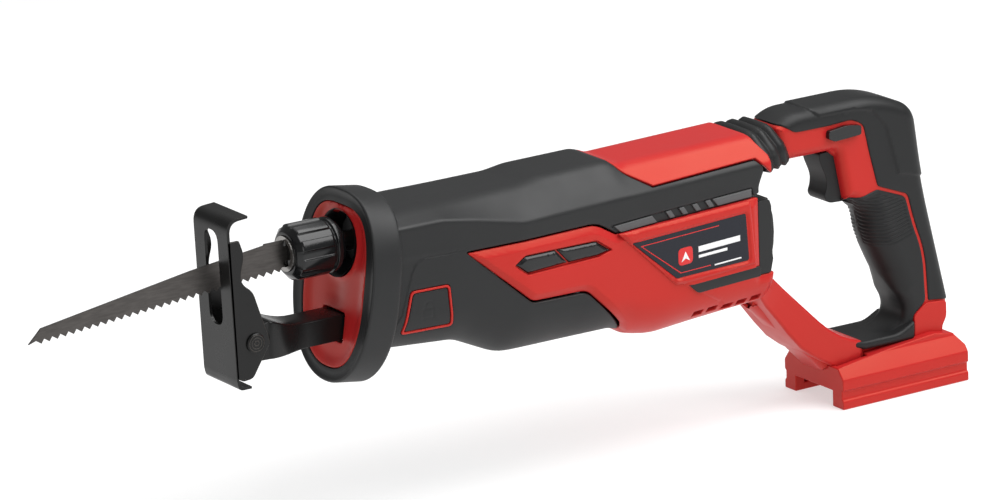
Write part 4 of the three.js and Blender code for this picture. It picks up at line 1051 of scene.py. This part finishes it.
face = prism("shoe_face", BEND, (-19.5, 19.5), ["shoe_plate"], STEEL_BLACK, bevel=0, step=1.2)
apply_cut(face, cutter([tuple(p) for p in closed_outline(SLOT, 1.2)], "x", (-90, -78)))
wear_and_highlight_edges(soften(face, 0.4, 2, 35))
for side in (-1, 1):
    tag = "right" if side > 0 else "left"
    wear_and_highlight_edges(prism(f"shoe_cheek_{tag}", FLANGE, sorted((side * 17.9, side * 19.5)), ["shoe_plate"], STEEL_BLACK,
        bevel=0.35, segments=2, step=1.2))

    def spun(name, profile, mat, sides=48, spin=0.0):
        """A round piece on the shoe's pin: profile is (distance out, radius)."""
        angle = np.arange(sides) / sides * 2 * math.pi + spin
        rings = [np.stack([-68 + radius * np.cos(angle), side * (19.5 + out) + 0 * angle,
            -44.4 + radius * np.sin(angle)], 1)
            for out, radius in profile]
        return loft(f"{name}_{tag}", rings, ["shoe_pin"], mat)

    soften(spun("pin_head", [(0.1, 6.0), (1.1, 6.0), (1.6, 5.5), (1.6, 0.2)], STEEL_BLACK), 0.1, 1)
    # Thin raised rings on the pin head in the lighter metal: a painted highlight ring, and wear.
    soften(spun("pin_ring", [(1.4, 5.3), (1.9, 5.15), (1.9, 4.85), (1.4, 4.7)], EDGE_WEAR_AND_HIGHLIGHT), 0.05, 1)
    soften(spun("pin_lip", [(1.4, 3.7), (1.9, 3.55), (1.9, 3.2), (1.4, 3.05)], EDGE_WEAR_AND_HIGHLIGHT), 0.05, 1)
    soften(spun("pin_hex", [(1.4, 2.0), (1.85, 1.9), (1.85, 1.45), (1.4, 1.35)], EDGE_WEAR_AND_HIGHLIGHT, sides=6), 0.05, 1)

ARM_BAR = [  # x, low z, high z, half width
    (-57.6, -57.6, -33.6, 17.5), (-54, -58, -34.6, 17.3), (-50, -58.2, -36.2, 16.7),
    (-46, -58.3, -38.0, 15.7), (-42, -58.4, -39.6, 14.4), (-38, -58.3, -40.8, 13.1),
    (-34, -58.2, -41.6, 12.0), (-30, -58, -42, 11.3), (-26, -58, -42, 11), (-18, -58, -42, 11),
    (10, -58, -42, 11), (54, -58, -42, 11),
]
loft("arm_bar", [bar_section((x, high), (x, low), half, 1.1, 3) for x, low, high, half in ARM_BAR],
    ["shoe_arm"], STEEL_BLACK)
for side in (-1, 1):
    prism(f"arm_fork_{'right' if side > 0 else 'left'}", [(-56.8, -57.5), (-56.8, -33.8), (-64, -36, 2),
        (-74.5, -42, 3), (-74.5, -50, 4), (-66, -57.2, 3)], sorted((side * 12.2, side * 17.5)), ["shoe_arm"],
        STEEL_BLACK, bevel=0.6, segments=2, step=1.5)

# ------------------------------------------------------------------ CAD pieces that show as they are
LOOKS = {
    "saw_blade": BLADE, "blade_holder": STEEL_BLACK, "clamp_ring": BRIGHT, "clamp_sleeve": GLOSS,
    "shoe_plate": STEEL_BLACK, "shoe_arm": STEEL_BLACK, "shoe_pin": STEEL_BLACK,
}
SLOT_LOOKS = {
    "black_steel": STEEL_BLACK, "black_plastic": BLACK, "black_rubber": DARK, "bright_steel": BRIGHT,
    "aluminium": ALUMINIUM, "bronze": BRONZE, "copper": COPPER, "board": BOARD, "red_plastic": RED,
    "grey_plastic": GREY, "label": LABEL, "blade_steel": BLADE,
}
for name, obj in frame["nodes"].items():
    obj.data.materials.clear()
    obj.data.materials.append(LOOKS.get(name, SLOT_LOOKS[SLOT_OF[name]]))
for name, width in (("blade_holder", 0.4), ("clamp_ring", 0.3)):
    obj = frame["nodes"][name]
    flat = obj.modifiers.new("flat faces", "DECIMATE")
    flat.decimate_type = "DISSOLVE"
    flat.angle_limit = math.radians(1)
    soften(obj, width, 3, 24)

# ------------------------------------------------------------------ stage, camera, light
bpy.ops.mesh.primitive_plane_add(size=60, location=(0, 0, -0.0002))
floor = bpy.context.object
floor.name = "floor"
floor_mat = bpy.data.materials.new("floor")
floor_mat.use_nodes = True
floor_shader = floor_mat.node_tree.nodes["Principled BSDF"]
floor_shader.inputs["Base Color"].default_value = (0.5, 0.5, 0.5, 1)
floor_shader.inputs["Emission Color"].default_value = (1, 1, 1, 1)
floor_shader.inputs["Emission Strength"].default_value = 0.55
floor_shader.inputs["Roughness"].default_value = 0.9
floor.data.materials.append(floor_mat)

A, E, R = math.radians(32.5), math.radians(16.3), math.radians(2.2)
forward = Vector((math.sin(A) * math.cos(E), math.cos(A) * math.cos(E), -math.sin(E)))
level = forward.cross(Vector((0, 0, 1))).normalized()
upright = level.cross(forward)
right = level * math.cos(R) - upright * math.sin(R)
up = upright * math.cos(R) + level * math.sin(R)
aim = Vector((-0.0380, -0.0561, 0.1635))
cam_data = bpy.data.cameras.new("camera")
cam_data.lens = 216
cam_data.sensor_width = 36
cam_data.clip_end = 100
cam = bpy.data.objects.new("camera", cam_data)
bpy.context.scene.collection.objects.link(cam)
basis = Matrix((right, up, -forward)).transposed().to_4x4()
cam.matrix_world = Matrix.Translation(aim - forward * 3.6145) @ basis
bpy.context.scene.camera = cam


def area(name, place, target, size, power):
    data = bpy.data.lights.new(name, "AREA")
    data.shape = "RECTANGLE"
    data.size, data.size_y = size
    data.energy = power
    obj = bpy.data.objects.new(name, data)
    obj.location = place
    obj.rotation_euler = (Vector(target) - Vector(place)).to_track_quat("-Z", "Y").to_euler()
    bpy.context.scene.collection.objects.link(obj)


area("overhead", (0.75, -0.75, 1.75), (0.05, 0, 0.1), (1.9, 1.9), 58)
area("high", (0.0, 0.9, 2.2), (0.05, 0, 0.1), (2.4, 1.6), 16)
area("side", (-1.9, -1.9, 0.7), (0, 0, 0.1), (0.9, 0.9), 7)
world = bpy.data.worlds.new("studio")
world.use_nodes = True
world.node_tree.nodes["Background"].inputs["Color"].default_value = (1, 1, 1, 1)
world.node_tree.nodes["Background"].inputs["Strength"].default_value = 0.24
bpy.context.scene.world = world
bpy.context.scene.view_settings.view_transform = "Standard"
